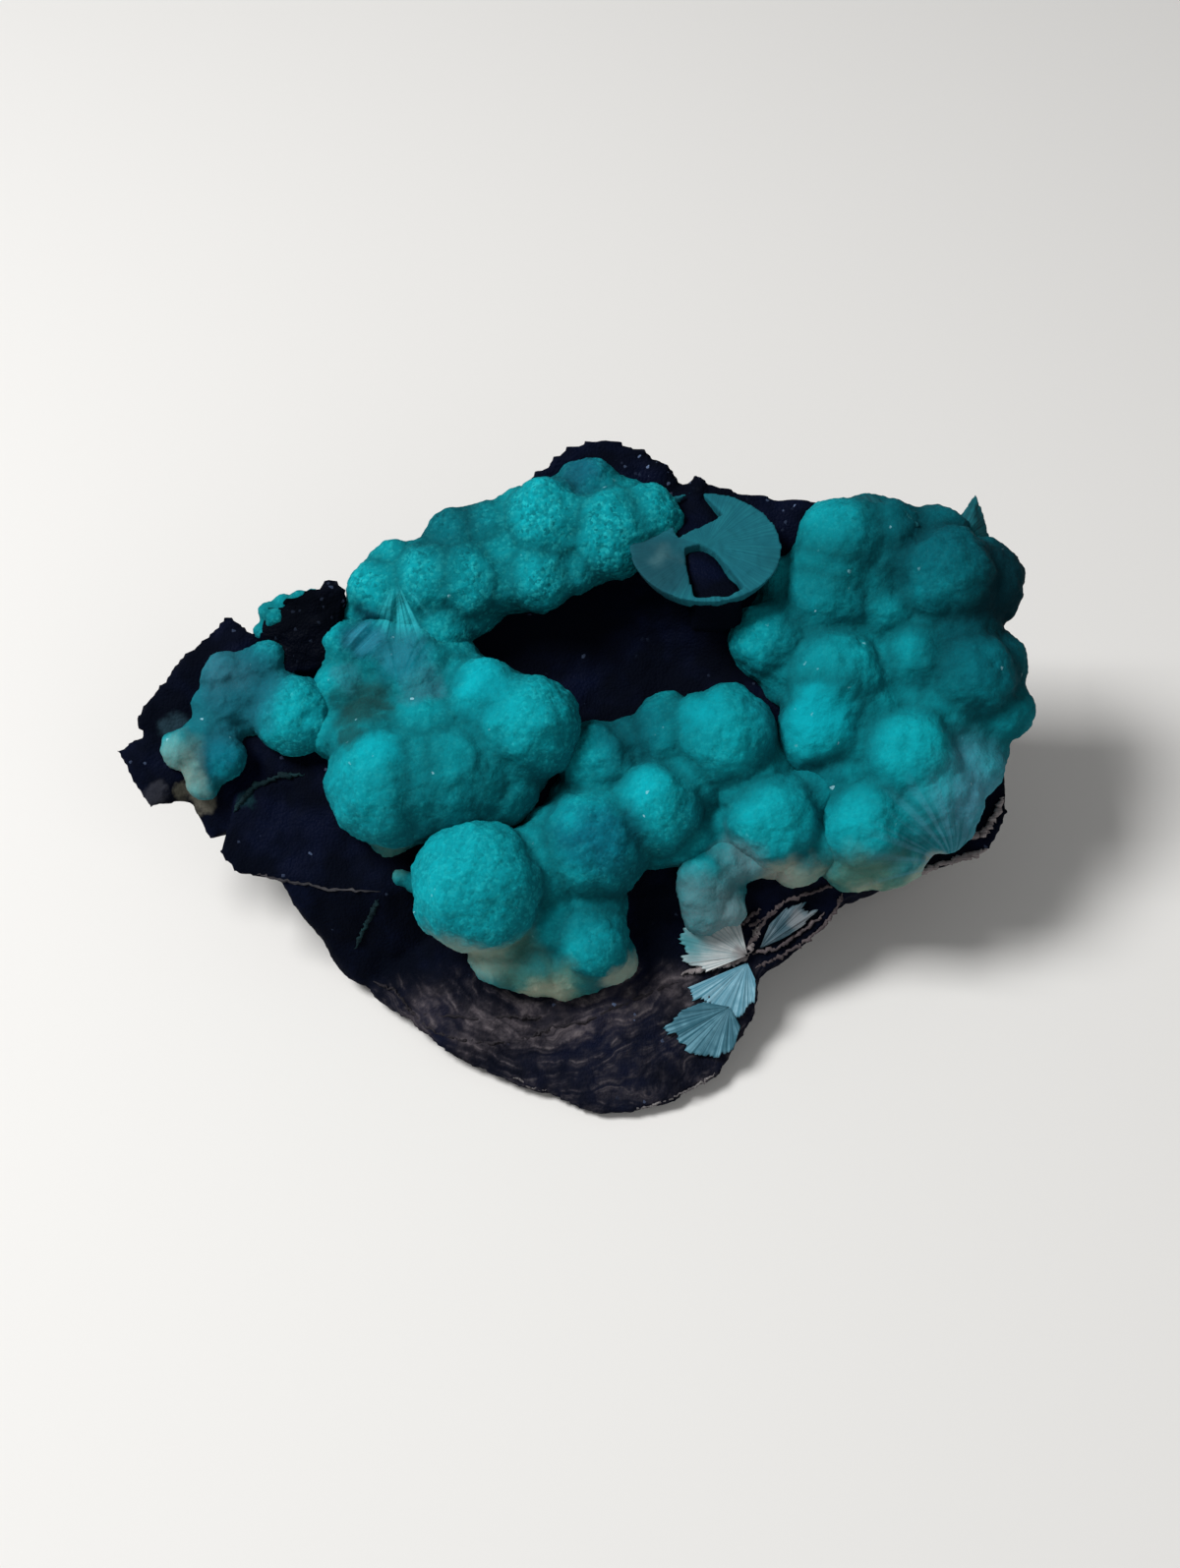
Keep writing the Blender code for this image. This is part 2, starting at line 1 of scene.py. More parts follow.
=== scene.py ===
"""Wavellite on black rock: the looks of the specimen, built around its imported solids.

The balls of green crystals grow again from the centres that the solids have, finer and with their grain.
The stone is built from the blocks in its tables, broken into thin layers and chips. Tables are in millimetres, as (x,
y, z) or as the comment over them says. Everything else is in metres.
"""

import math

import bmesh
import bpy
import numpy as np
from bpy.props import FloatProperty, FloatVectorProperty, PointerProperty
from mathutils import Matrix, Vector


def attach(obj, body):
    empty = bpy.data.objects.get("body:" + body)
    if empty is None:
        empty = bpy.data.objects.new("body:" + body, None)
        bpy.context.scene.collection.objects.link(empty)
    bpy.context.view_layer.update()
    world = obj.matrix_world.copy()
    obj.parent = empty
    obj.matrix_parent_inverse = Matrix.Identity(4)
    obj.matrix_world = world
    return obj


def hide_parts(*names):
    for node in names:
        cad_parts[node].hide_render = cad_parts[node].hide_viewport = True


bl_info = {
    "name": "Wavellite specimen",
    "version": (1, 0, 0),
    "blender": (4, 5, 0),
    "location": "View3D > Sidebar > Wavellite",
    "description": "Grows a wavellite crust on its black rock and sets up a plain stage for it",
    "category": "Object",
}

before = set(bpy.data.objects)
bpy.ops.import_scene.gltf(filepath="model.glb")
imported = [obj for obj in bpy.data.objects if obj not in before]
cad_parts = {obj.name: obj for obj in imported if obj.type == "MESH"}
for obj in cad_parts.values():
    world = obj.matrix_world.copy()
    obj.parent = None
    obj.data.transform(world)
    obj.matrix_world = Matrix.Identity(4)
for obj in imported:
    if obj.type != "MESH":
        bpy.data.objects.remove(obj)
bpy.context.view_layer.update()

MM = 0.001

# The bed is the sloping plane that the crystals grow on: its slope in degrees, and one point as (y, z)
BED_SLOPE = 31.5
BED_FRONT = (-17.0, 0.5)

# Core of the stone: corners of its top, whose height is the bed's, then of its sides and of its foot
CORE_TOP = [
    (-20.0, 0.6), (-20.2, 6.0), (-15.4, 9.0), (-9.7, 11.9), (-6.0, 13.8), (6.6, 15.4), (11.2, 14.7),
    (15.4, 14.3), (23.6, 12.2), (25.4, 8.0), (25.4, 3.0), (24.0, -2.0), (17.0, -5.0), (8.0, -6.2),
    (-2.0, -6.8), (-12.0, -5.0),
]
CORE_SIDE = [(0.0, 17.0, 12.0), (11.0, 16.0, 10.0), (-9.0, 13.4, 9.0), (22.0, 11.5, 8.0), (-18.5, 5.0, 8.0)]
CORE_FOOT = [
    (-14.5, 2.0), (-12.0, 9.0), (-3.0, 13.0), (8.0, 12.5), (16.0, 9.0), (18.5, 1.0), (14.0, -4.0),
    (4.0, -9.0), (-8.0, -8.0), (-12.5, -3.0),
]

# Blocks that stand around the core, each the hull of its corners
FRONT_TERRACE = [
    (-14.2, -8.8, 1.2), (-12.4, -9.1, 1.3), (-11.5, -10.2, 1.3), (-10.7, -11.4, 1.3), (-9.5, -13.1, 1.2),
    (-7.4, -14.2, 1.0), (-5.9, -15.1, 0.9), (-3.8, -15.9, 0.8), (0.7, -17.7, 0.6), (2.3, -17.7, 0.7),
    (4.7, -17.0, 0.8), (7.9, -15.3, 1.2), (8.9, -13.2, 1.7), (10.0, -11.9, 2.3), (10.4, -9.8, 3.5),
    (-9.6, -7.4, 4.0), (0.0, -5.6, 5.8), (9.0, -6.0, 5.6), (-11.5, -7.6, 0.0), (-8.4, -12.2, 0.0),
    (-5.0, -14.4, 0.0), (1.4, -16.9, 0.0), (7.0, -14.4, 0.0), (8.6, -11.0, 0.0), (8.0, -5.0, 0.0),
]
FRONT_RIM = [
    (10.3, -9.8, 3.6), (12.0, -8.9, 4.1), (14.1, -7.4, 5.0), (15.8, -5.4, 6.2), (9.0, -7.0, 5.0),
    (12.0, -5.0, 6.4), (10.6, -8.0, 1.2), (13.6, -5.2, 2.4), (9.0, -4.0, 1.0),
]
FRONT_VEIN = [
    (5.3, -10.0, 3.4), (5.6, -9.4, 3.7), (9.5, -8.9, 4.7), (9.4, -8.4, 4.9), (10.6, -6.4, 6.0),
    (11.1, -6.8, 5.8), (7.4, -9.4, 4.2), (8.0, -8.6, 2.0),
]
LEFT_SLAB = [
    (-22.6, -4.1, 8.4), (-21.4, -5.3, 7.7), (-18.8, -5.6, 7.5), (-12.4, -6.1, 7.2), (-10.6, -5.8, 7.4),
    (-20.6, 2.6, 11.8), (-12.0, 5.0, 13.2), (-20.8, -1.6, 5.8), (-16.0, -2.0, 4.0), (-18.0, 2.0, 5.0),
]
LEFT_FACETS = [
    (-18.8, -5.6, 7.5), (-12.4, -6.1, 7.2), (-10.0, -5.6, 7.2), (-8.8, -6.9, 3.6), (-12.1, -8.4, 2.2),
    (-13.5, -8.8, 1.3), (-14.2, -8.9, 1.2), (-15.5, -7.9, 1.5), (-14.6, -7.0, 0.0), (-12.0, -8.0, 0.0),
    (-9.0, -5.0, 0.0), (-17.0, -3.0, 4.0), (-12.0, -1.0, 0.0),
]
LEFT_BLADE = [
    (-22.2, 8.5, 16.5), (-20.4, 7.4, 15.9), (-24.1, 6.7, 15.3), (-25.5, 5.1, 14.1), (-27.2, 4.0, 13.1),
    (-27.9, 2.5, 12.4), (-20.6, 3.0, 12.6), (-24.4, 2.2, 12.2), (-22.0, 6.6, 12.6), (-26.0, 3.4, 10.8),
    (-19.0, 5.0, 8.0),
]
LEFT_FANG = [
    (-29.0, 1.6, 11.6), (-27.2, 2.0, 12.1), (-27.8, -0.1, 10.6), (-26.8, -1.9, 9.8), (-25.6, -0.8, 10.4),
    (-26.6, 2.5, 12.2), (-22.0, 2.6, 12.2), (-27.0, 0.8, 9.4), (-22.0, 0.6, 8.2),
]
LEFT_TOE = [
    (-24.8, -0.6, 9.6), (-23.3, -2.4, 7.5), (-22.0, -2.2, 7.9), (-20.4, -0.1, 10.2), (-20.4, 1.2, 10.6),
    (-21.2, 2.5, 12.2), (-20.4, 2.4, 12.0), (-22.3, 1.6, 11.6), (-23.6, -0.6, 6.4), (-19.0, 1.0, 5.0),
]
DARK_BLOCK = [
    (-20.3, 6.8, 15.7), (-19.8, 8.2, 17.1), (-17.9, 8.5, 17.9), (-15.6, 9.1, 18.6), (-14.6, 8.6, 18.0),
    (-15.9, 5.1, 15.0), (-18.6, 4.8, 14.8), (-19.4, 7.0, 11.0), (-15.0, 8.0, 11.0),
]
BACK_HUMP = [
    (-6.0, 13.8, 19.4), (-3.3, 16.1, 20.9), (-1.5, 17.5, 21.8), (0.4, 17.8, 22.0), (2.1, 17.7, 21.9),
    (4.4, 16.6, 21.3), (5.6, 15.6, 20.6), (0.0, 12.0, 18.0), (0.0, 16.6, 15.0), (-4.0, 12.0, 12.0),
    (5.0, 13.0, 12.0),
]
BACK_KNOB = [
    (5.8, 15.6, 20.2), (6.3, 15.8, 20.9), (7.0, 15.7, 20.9), (7.4, 15.3, 20.2), (6.6, 14.4, 20.4),
    (6.6, 14.4, 17.0),
]
RIGHT_SHELF = [
    (25.3, 2.2, 11.0), (25.5, -1.2, 8.7), (24.6, -3.1, 7.6), (21.7, -4.1, 7.1), (18.1, -5.6, 7.0),
    (15.6, -5.8, 6.4), (25.6, 8.0, 13.6), (24.0, 2.0, 5.6), (17.0, 0.0, 1.6), (16.0, -4.8, 4.0),
]
ROCK_BLOCKS = {
    "front_terrace": FRONT_TERRACE, "front_rim": FRONT_RIM, "front_vein": FRONT_VEIN,
    "left_slab": LEFT_SLAB, "left_facets": LEFT_FACETS, "left_blade": LEFT_BLADE, "left_fang": LEFT_FANG,
    "left_toe": LEFT_TOE, "dark_block": DARK_BLOCK, "back_hump": BACK_HUMP, "back_knob": BACK_KNOB,
    "right_shelf": RIGHT_SHELF,
}

# The bare hollow in the middle of the crystal face: its centre on the bed, then its three half sizes
HOLLOW_AT, HOLLOW_SIZE = (1.2, 5.6), (9.5, 5.4, 2.6)

# Wavellite balls: x, y, radius, and how far the centre stands over the bed in radii
LEFT_BALLS = [
    (-19.7, 5.7, 1.3, 0.5), (-22.3, 5.2, 1.4, 0.2), (-22.0, 3.5, 1.3, 0.2), (-20.6, 4.2, 1.3, 0.1),
    (-17.9, 2.7, 2.5, 0.3), (-22.2, 0.4, 1.5, 0.5), (-22.4, 2.4, 1.2, -0.1), (-24.6, 1.2, 1.4, 0.1),
    (-23.5, 2.2, 1.2, 0.0), (-21.0, 5.2, 1.7, -0.2), (-20.6, 3.6, 1.4, -0.2), (-22.6, 3.9, 1.7, -0.3),
    (-23.6, 0.8, 1.5, -0.1), (-19.0, 4.7, 1.5, -0.1), (-23.4, -0.6, 1.0, 0.1),
]
BACK_BALLS = [
    (-12.7, 9.2, 2.1, 0.3), (-14.1, 8.2, 1.2, 0.2), (-12.2, 11.1, 1.4, 0.2), (-10.4, 11.4, 1.2, 0.1),
    (-8.3, 12.3, 1.8, 0.2), (-6.2, 12.6, 1.9, 0.2), (-9.8, 9.6, 2.4, 0.4), (-7.5, 9.6, 2.4, 0.4),
    (-2.5, 12.6, 2.8, 0.4), (-3.1, 9.9, 2.3, 0.4), (-5.4, 9.7, 2.0, 0.3), (-1.1, 10.5, 1.9, 0.3),
    (0.0, 15.1, 2.1, 0.0), (1.2, 12.0, 2.9, 0.4), (3.5, 12.9, 2.3, 0.4), (-9.0, 7.3, 1.9, 0.2),
    (-10.8, 7.9, 1.6, 0.2), (-4.4, 14.2, 1.3, 0.1),
]
RIGHT_BALLS = [
    (15.4, 11.5, 2.9, 0.4), (14.4, 8.7, 2.8, 0.3), (18.2, 12.0, 2.5, 0.3), (16.9, 13.3, 1.6, 0.2),
    (21.6, 9.4, 3.2, 0.5), (17.8, 8.2, 2.2, 0.3), (10.9, 6.7, 2.5, 0.2), (12.4, 7.6, 2.0, 0.2),
    (14.8, 4.3, 3.1, 0.4), (13.8, 1.3, 2.6, 0.75), (19.9, 5.3, 2.3, 0.55), (22.9, 4.4, 3.0, 0.4),
    (24.9, 3.0, 2.0, 0.2), (22.4, 2.2, 2.2, 0.1), (20.1, 8.4, 1.8, 0.2),
    (21.2, 12.3, 2.1, 0.1), (24.9, 5.8, 1.8, 0.1), (12.0, 10.0, 1.8, 0.1), (14.9, 10.1, 2.7, 0.35),
    (16.6, 9.6, 2.4, 0.2), (21.4, 4.9, 2.5, 0.35), (14.3, 2.8, 2.7, 0.6), (18.6, 10.6, 2.4, 0.2),
]
FRONT_RIGHT_BALLS = [
    (19.0, 0.0, 3.1, 0.6), (16.5, -3.3, 2.9, 0.5), (18.1, -4.0, 2.4, 0.0), (15.8, -4.3, 2.1, 0.0),
    (22.8, 0.3, 2.3, 0.0),
]
CENTRE_BALLS = [
    (8.1, 1.0, 3.2, 0.55), (6.8, 1.5, 2.0, 1.1), (4.8, 1.6, 2.5, 0.3), (0.7, 0.4, 2.7, 0.1),
    (2.5, 1.2, 2.1, 0.1), (14.0, -3.6, 2.0, 0.2), (13.9, -1.2, 2.0, 0.4), (4.0, -2.6, 2.8, 0.6), (0.2, -4.4, 3.4, 0.4), (-2.3, -3.5, 2.1, 0.3),
    (5.9, -3.4, 2.0, 0.1), (11.0, -3.1, 2.9, 0.5), (12.6, -4.2, 2.0, 0.1), (11.2, 0.9, 1.9, 0.0),
]
ARM_BALLS = [
    (12.6, -4.1, 1.5, 0.1), (11.0, -4.4, 1.3, 0.3), (9.6, -4.6, 1.4, 0.4), (8.2, -4.9, 1.6, 0.4),
    (7.0, -5.6, 1.8, 0.4), (6.7, -6.6, 1.6, 0.4), (6.9, -7.3, 1.4, 0.3),
    (8.6, -7.2, 1.05, 0.3),
]
LEFT_MASS_BALLS = [
    (-6.2, 2.7, 2.6, 0.8), (-3.8, 1.2, 3.3, 0.75), (-12.1, -1.5, 3.8, 0.5), (-8.5, -1.2, 3.6, 0.5),
    (-5.7, -1.3, 2.8, 0.4), (-15.1, 4.2, 1.9, 0.2), (-15.2, 1.8, 1.8, 0.3), (-10.4, 4.6, 2.5, 0.3),
    (-14.9, 6.8, 1.7, 0.1), (-12.1, -3.4, 1.1, -0.5), (-12.4, 4.0, 2.0, 0.1), (-12.9, 6.6, 2.2, 0.0),
    (-10.8, 6.4, 2.2, 0.0), (-8.6, 5.8, 2.0, 0.0), (-10.3, -1.3, 3.6, 0.5), (-7.0, -1.2, 3.2, 0.45),
    (-12.8, 0.8, 2.9, 0.4), (-9.8, 1.2, 3.0, 0.4),
]
FRONT_BALLS = [
    (-6.6, -7.0, 4.0, 0.6), (0.1, -9.2, 2.3, 0.5), (-3.3, -9.6, 2.1, -0.1), (-1.2, -9.8, 2.1, -0.1),
    (-5.2, -9.0, 2.2, -0.1), (1.1, -9.3, 1.8, -0.1), (-10.4, -5.6, 0.8, -0.2), (-11.4, -5.2, 0.7, -0.2),
]
RIM_BALLS = [
    (-19.9, 7.5, 0.7, 0.1), (-19.6, 8.3, 0.75, 0.4), (-18.7, 8.7, 0.7, 0.7), (-17.7, 8.8, 0.6, 1.2),
    (-19.2, 7.9, 0.7, 0.9), (-16.8, 8.9, 0.5, 1.9),
]

# Balls that a flat face broke: the ball's row, a point on the face, and the way the face looks
BROKEN_BALLS = [
    ((20.5, -2.0, 3.1, 0.3), (22.8, -3.6, 11.4), (0.62, -0.60, 0.50)),
    ((23.9, 10.0, 2.8, 0.0), (26.1, 11.0, 18.2), (0.90, 0.20, 0.40)),
]

# Each stretch of the crust is one piece, and they all stand for the one solid crust: its balls, its broken
# balls, how flat its balls are across the bed, how large the balls are that fill between two neighbours,
# how many rounds of smoothing soften its creases, and the share of the grain depth that it has
CRUST_PIECES = {
    "crust_left": (LEFT_BALLS, [], 0.80, 0.92, 22, 0.7),
    "crust_mass": (LEFT_MASS_BALLS, [], 0.97, 0.97, 60, 0.8),
    "crust_back": (BACK_BALLS, [], 0.82, 0.95, 50, 0.6),
    "crust_right": (RIGHT_BALLS + FRONT_RIGHT_BALLS, BROKEN_BALLS, 1.0, 0.93, 36, 0.5),
    "crust_front": (CENTRE_BALLS + FRONT_BALLS, [], 1.0, 0.88, 20, 0.7),
    "crust_arm": (ARM_BALLS, [], 0.92, 0.98, 26, 0.5),
}

# The ball that is broken open by a level face: centre, radius, how far the face is over the centre, and
# the outlines of its two missing pieces on that face. The stone shows a little under the face there.
SPLIT_AT, SPLIT_RADIUS, SPLIT_FACE, NOTCH_STONE_TOP = (6.95, 10.15, 21.9), 4.87, -1.6, -2.2
SPLIT_NOTCHES = [
    [(-2.4, 2.9), (-1.9, 3.8), (-0.8, 4.5), (-0.3, 4.8), (1.2, 2.7), (0.1, 2.0), (-0.8, 1.4), (-1.6, 0.7)],
    [(-1.2, -0.1), (-0.3, 0.2), (0.6, -0.5), (2.2, -3.4), (1.2, -4.1), (-0.8, -4.2), (-1.2, -1.5)],
]

# Corners of the broken pieces that stand up at the back right of the crystals. The fifth is where their
# fibres start.
BACK_TIPS = {
    "back_tip": [
        (22.1, 13.0, 18.9), (24.5, 13.5, 18.8), (23.8, 15.0, 20.0), (24.8, 12.0, 17.6), (22.2, 12.0, 17.8),
        (23.4, 12.6, 19.6), (23.4, 14.2, 18.0),
    ],
    "back_plate": [
        (15.6, 13.6, 21.0), (17.0, 13.3, 21.6), (19.0, 12.2, 21.3), (20.0, 11.4, 20.8), (18.4, 10.6, 20.6),
        (16.4, 11.2, 20.6), (17.0, 13.2, 19.0), (19.0, 12.0, 18.6),
    ],
}

# Flat flakes of fused crystals: the solid that each stands for, dark and light colour, height of its ribs,
# then its corners: the apex of the fan, and its rim
FLAKES = {
    "flake_arm": ("wavellite_crust", (0.240, 0.310, 0.330), (0.600, 0.620, 0.620), 0.05, [
        (9.5, -9.0, 4.7), (9.0, -7.0, 5.7), (7.5, -6.7, 6.1), (6.2, -7.1, 6.0), (5.4, -8.1, 5.3),
        (5.6, -9.2, 4.5), (6.8, -9.9, 4.1),
    ]),
    "flake_upper": ("front_fan", (0.070, 0.220, 0.300), (0.280, 0.500, 0.600), 0.035, [
        (9.5, -9.2, 4.2), (10.0, -10.1, 3.5), (9.9, -11.4, 2.9), (8.9, -12.1, 2.6), (7.4, -12.0, 3.0),
        (6.2, -11.3, 3.3), (5.9, -10.6, 3.6),
    ]),
    "flake_lower": ("front_fan", (0.020, 0.095, 0.135), (0.130, 0.300, 0.380), 0.035, [
        (8.4, -11.6, 3.0), (9.0, -12.6, 2.3), (8.6, -13.9, 1.9), (7.4, -14.5, 1.7), (5.9, -14.4, 2.0),
        (4.9, -13.7, 2.4), (4.4, -13.0, 2.9), (5.3, -12.0, 3.1), (6.8, -11.5, 3.4),
    ]),
    "flake_side": ("side_fan", (0.020, 0.062, 0.085), (0.130, 0.190, 0.225), 0.035, [
        (10.3, -8.4, 4.6), (10.9, -7.1, 5.3), (11.9, -6.3, 5.9), (13.0, -6.1, 6.1), (13.8, -6.4, 5.7),
        (12.9, -7.1, 5.1), (11.6, -7.8, 4.7),
    ]),
}
FLAKE_RIBS, FLAKE_STEPS, PLATE_RIBS = 81, 14, (1, 13)
FLAKE_LIFT, FLAKE_THICKNESS = 0.25, 0.8

# Thin ribs that stand out of the stone: half width, dark and light colour, and the lines that they follow
LEDGES = {
    "pale_ledges": (0.22, (0.12, 0.105, 0.110), (0.40, 0.36, 0.36), [
        [(21.1, -3.5, 7.9), (22.5, -2.8, 8.3), (24.0, -2.5, 8.2), (24.7, -1.6, 8.8), (25.3, -0.4, 9.3)],
        [(18.2, -5.2, 7.1), (19.7, -4.8, 7.3), (21.2, -4.1, 7.3), (22.8, -3.7, 7.5), (24.2, -3.2, 7.6)],
        [(5.5, -9.9, 4.0), (7.1, -9.5, 4.2), (8.6, -9.3, 4.3), (9.6, -8.8, 4.5)],
        [(9.6, -8.8, 4.5), (9.9, -8.0, 5.1), (10.3, -7.3, 5.5)],
    ]),
    "brown_ribs": (0.12, (0.045, 0.036, 0.040), (0.190, 0.158, 0.165), [
        [(9.3, -8.9, 4.7), (10.0, -7.9, 5.3), (10.9, -6.7, 5.8), (11.9, -6.1, 6.4), (13.7, -5.7, 6.8),
         (14.9, -5.4, 7.0)],
        [(10.0, -9.4, 3.9), (11.3, -8.8, 4.1), (12.8, -8.1, 4.5), (14.2, -7.1, 5.1), (15.0, -6.2, 5.6),
         (15.4, -5.6, 6.4)],
        [(9.8, -8.7, 4.4), (11.3, -8.4, 4.6), (12.8, -7.5, 4.9), (14.3, -6.5, 5.6)],
        [(8.5, -7.7, 5.1), (9.6, -6.9, 5.6), (10.4, -6.5, 6.0)],
        [(9.0, -7.9, 5.0), (9.8, -7.3, 5.4), (11.4, -6.6, 5.9)],
    ]),
    "front_crease": (0.09, (0.012, 0.011, 0.015), (0.042, 0.037, 0.043), [
        [(-13.3, -9.0, 1.7), (-12.0, -9.7, 2.0), (-10.9, -11.0, 1.6), (-9.5, -12.4, 1.5), (-7.7, -13.1, 1.6),
         (-5.9, -13.3, 1.7), (-4.0, -13.2, 1.9), (-2.4, -12.7, 2.4), (0.0, -12.4, 2.9), (3.0, -11.2, 3.5),
         (5.3, -10.3, 3.8)],
        [(-10.1, -11.4, 2.0), (-7.2, -11.9, 2.2), (-4.7, -12.0, 2.6), (-2.4, -12.2, 2.6)],
    ]),
    "white_lip": (0.07, (0.060, 0.055, 0.060), (0.320, 0.300, 0.300), [
        [(-4.6, -15.3, 1.1), (-4.0, -15.5, 0.9), (-3.5, -15.9, 0.8), (-2.6, -16.1, 0.8)],
        [(2.3, -17.3, 0.7), (3.4, -17.2, 0.8), (4.6, -16.8, 0.9), (6.0, -16.1, 1.1), (7.6, -15.2, 1.3)],
    ]),
    "green_vein": (0.15, (0.003, 0.010, 0.014), (0.008, 0.040, 0.046), [
        [(-12.8, -6.2, 6.8), (-13.2, -6.7, 6.0), (-13.6, -7.0, 5.1), (-14.4, -7.8, 3.5)],
        [(-21.6, -1.8, 9.6), (-21.0, -1.2, 10.1), (-20.4, -0.5, 10.4), (-18.8, 0.0, 10.9), (-17.3, 0.0, 10.9)],
    ]),
    "slab_edge": (0.08, (0.020, 0.020, 0.026), (0.100, 0.095, 0.100), [
        [(-20.1, -5.1, 7.7), (-18.4, -5.5, 7.6), (-16.0, -5.9, 7.3), (-12.7, -6.1, 7.3)],
    ]),
}

# Between two neighbours the crust is filled by a smaller ball that lies a little deeper
NEIGHBOUR_REACH, FILL_DEPTH = 1.2, 0.32

# The camera looks down at the specimen from the front, and its long side is upright
LOOK_AT, LOOK_DOWN, LOOK_FROM = (0.0, 0.0, 10.0), 52.0, 130.0
PHOTO_HEIGHT, FOCAL_LENGTH = 1595, 2166.67
FILM_SIZE = 36.0


def millimetres(point):
    """The point, given in millimetres, as a vector in metres."""
    return Vector(point) * MM


def bed_height(y):
    """Height of the bed at depth y, both in millimetres."""
    return BED_FRONT[1] + (y - BED_FRONT[0]) * math.tan(math.radians(BED_SLOPE))


def bed_normal():
    slope = math.radians(BED_SLOPE)
    return Vector((0.0, -math.sin(slope), math.cos(slope)))


def seat(row):
    """Centre and radius, in metres, of a ball row, whose height is measured from the bed."""
    x, y, radius, rise = row
    return millimetres((x, y, bed_height(y) + rise * radius)), radius * MM


def with_fillers(rows, share_of_small):
    """Centre and radius of every ball, and of a smaller and deeper one between each two neighbours."""
    seats = [seat(row) for row in rows]
    fillers = []
    for i, (one, one_radius) in enumerate(seats):
        for other, other_radius in seats[i + 1:]:
            small = min(one_radius, other_radius)
            if (one - other).length < NEIGHBOUR_REACH * (one_radius + other_radius):
                share = one_radius / (one_radius + other_radius)
                middle = one.lerp(other, share) - bed_normal() * FILL_DEPTH * small
                fillers.append((middle, share_of_small * small))
    return seats + fillers


def object_from(builder, name):
    """A new object in the scene, holding the mesh of the builder."""
    mesh = bpy.data.meshes.new(name)
    builder.to_mesh(mesh)
    builder.free()
    return object_of(mesh, name)


def object_of(mesh, name):
    obj = bpy.data.objects.new(name, mesh)
    bpy.context.scene.collection.objects.link(obj)
    return obj


def settle(obj):
    """Applies every modifier of the object to its mesh."""
    graph = bpy.context.evaluated_depsgraph_get()
    mesh = bpy.data.meshes.new_from_object(obj.evaluated_get(graph))
    obj.modifiers.clear()
    old = obj.data
    obj.data = mesh
    bpy.data.meshes.remove(old)


def one_skin(obj, voxel, rounds=0):
    """Grows touching bodies into one even skin, and softens its creases by so many rounds of smoothing."""
    modifier = obj.modifiers.new("one_skin", "REMESH")
    modifier.mode = "VOXEL"
    modifier.voxel_size = voxel
    if rounds:
        soften = obj.modifiers.new("soften", "SMOOTH")
        soften.factor = 0.5
        soften.iterations = rounds
    settle(obj)


def cut_below(obj, point, normal):
    """Removes all that lies under a plane and closes the cut with one flat face."""
    builder = bmesh.new()
    builder.from_mesh(obj.data)
    geometry = builder.verts[:] + builder.edges[:] + builder.faces[:]
    bmesh.ops.bisect_plane(builder, geom=geometry, plane_co=point, plane_no=normal, clear_inner=True)
    rim = [edge for edge in builder.edges if edge.is_boundary]
    bmesh.ops.holes_fill(builder, edges=rim)
    bmesh.ops.recalc_face_normals(builder, faces=builder.faces)
    builder.to_mesh(obj.data)
    builder.free()


def points_of(mesh):
    """The mesh's vertices as an array."""
    flat = np.empty(len(mesh.vertices) * 3, np.float32)
    mesh.vertices.foreach_get("co", flat)
    return flat.reshape(-1, 3)


def keep_value(mesh, name, values):
    """Keeps one value for each vertex, for the material to read."""
    layer = mesh.attributes.new(name, "FLOAT", "POINT")
    layer.data.foreach_set("value", np.asarray(values, np.float32))


def mark_painted_crown_light(mesh):
    """Keeps for each vertex how far it faces the way of the painted light, from 0 at the foot of a ball to 1 at its
    crown.
    """
    flat = np.empty(len(mesh.vertices) * 3, np.float32)
    mesh.vertices.foreach_get("normal", flat)
    facing = flat.reshape(-1, 3) @ np.array(Vector(PAINTED_LIGHT_WAY).normalized(), np.float32)
    keep_value(mesh, "crown", np.clip((facing - 0.1) / 0.9, 0.0, 1.0))


def mark_crease_shade(mesh, seats):
    """Keeps for each vertex how deep it lies in the crease between two balls, from 0 on a ball to 1, for the painted
    shade in the creases.
    """
    points = points_of(mesh)
    nearest = np.full(len(points), np.inf, np.float32)
    second = np.full(len(points), np.inf, np.float32)
    for centre, radius in seats:
        away = np.linalg.norm(points - np.array(centre, np.float32), axis=1) - radius
        second = np.minimum(second, np.maximum(nearest, away))
        nearest = np.minimum(nearest, away)
    keep_value(mesh, "crease", np.clip(1.0 - (second - nearest) / CREASE_SHADE_WIDTH, 0.0, 1.0))


# Width of the painted shade in the creases between balls, in metres
CREASE_SHADE_WIDTH = 0.0014
# The way that the painted light comes from: the side of each ball that faces it gets the lit colour
PAINTED_LIGHT_WAY = (-0.30, -0.25, 0.92)


def shade_smooth(obj):
    obj.data.polygons.foreach_set("use_smooth", [True] * len(obj.data.polygons))
    obj.data.update()


def dress(obj, material, nodes):
    """Gives a piece its material and smooth shading, hangs it under the root, and hides the solids that it stands for.
    """
    obj.data.materials.clear()
    obj.data.materials.append(material)
    shade_smooth(obj)
    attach(obj, "root")
    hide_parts(*nodes)


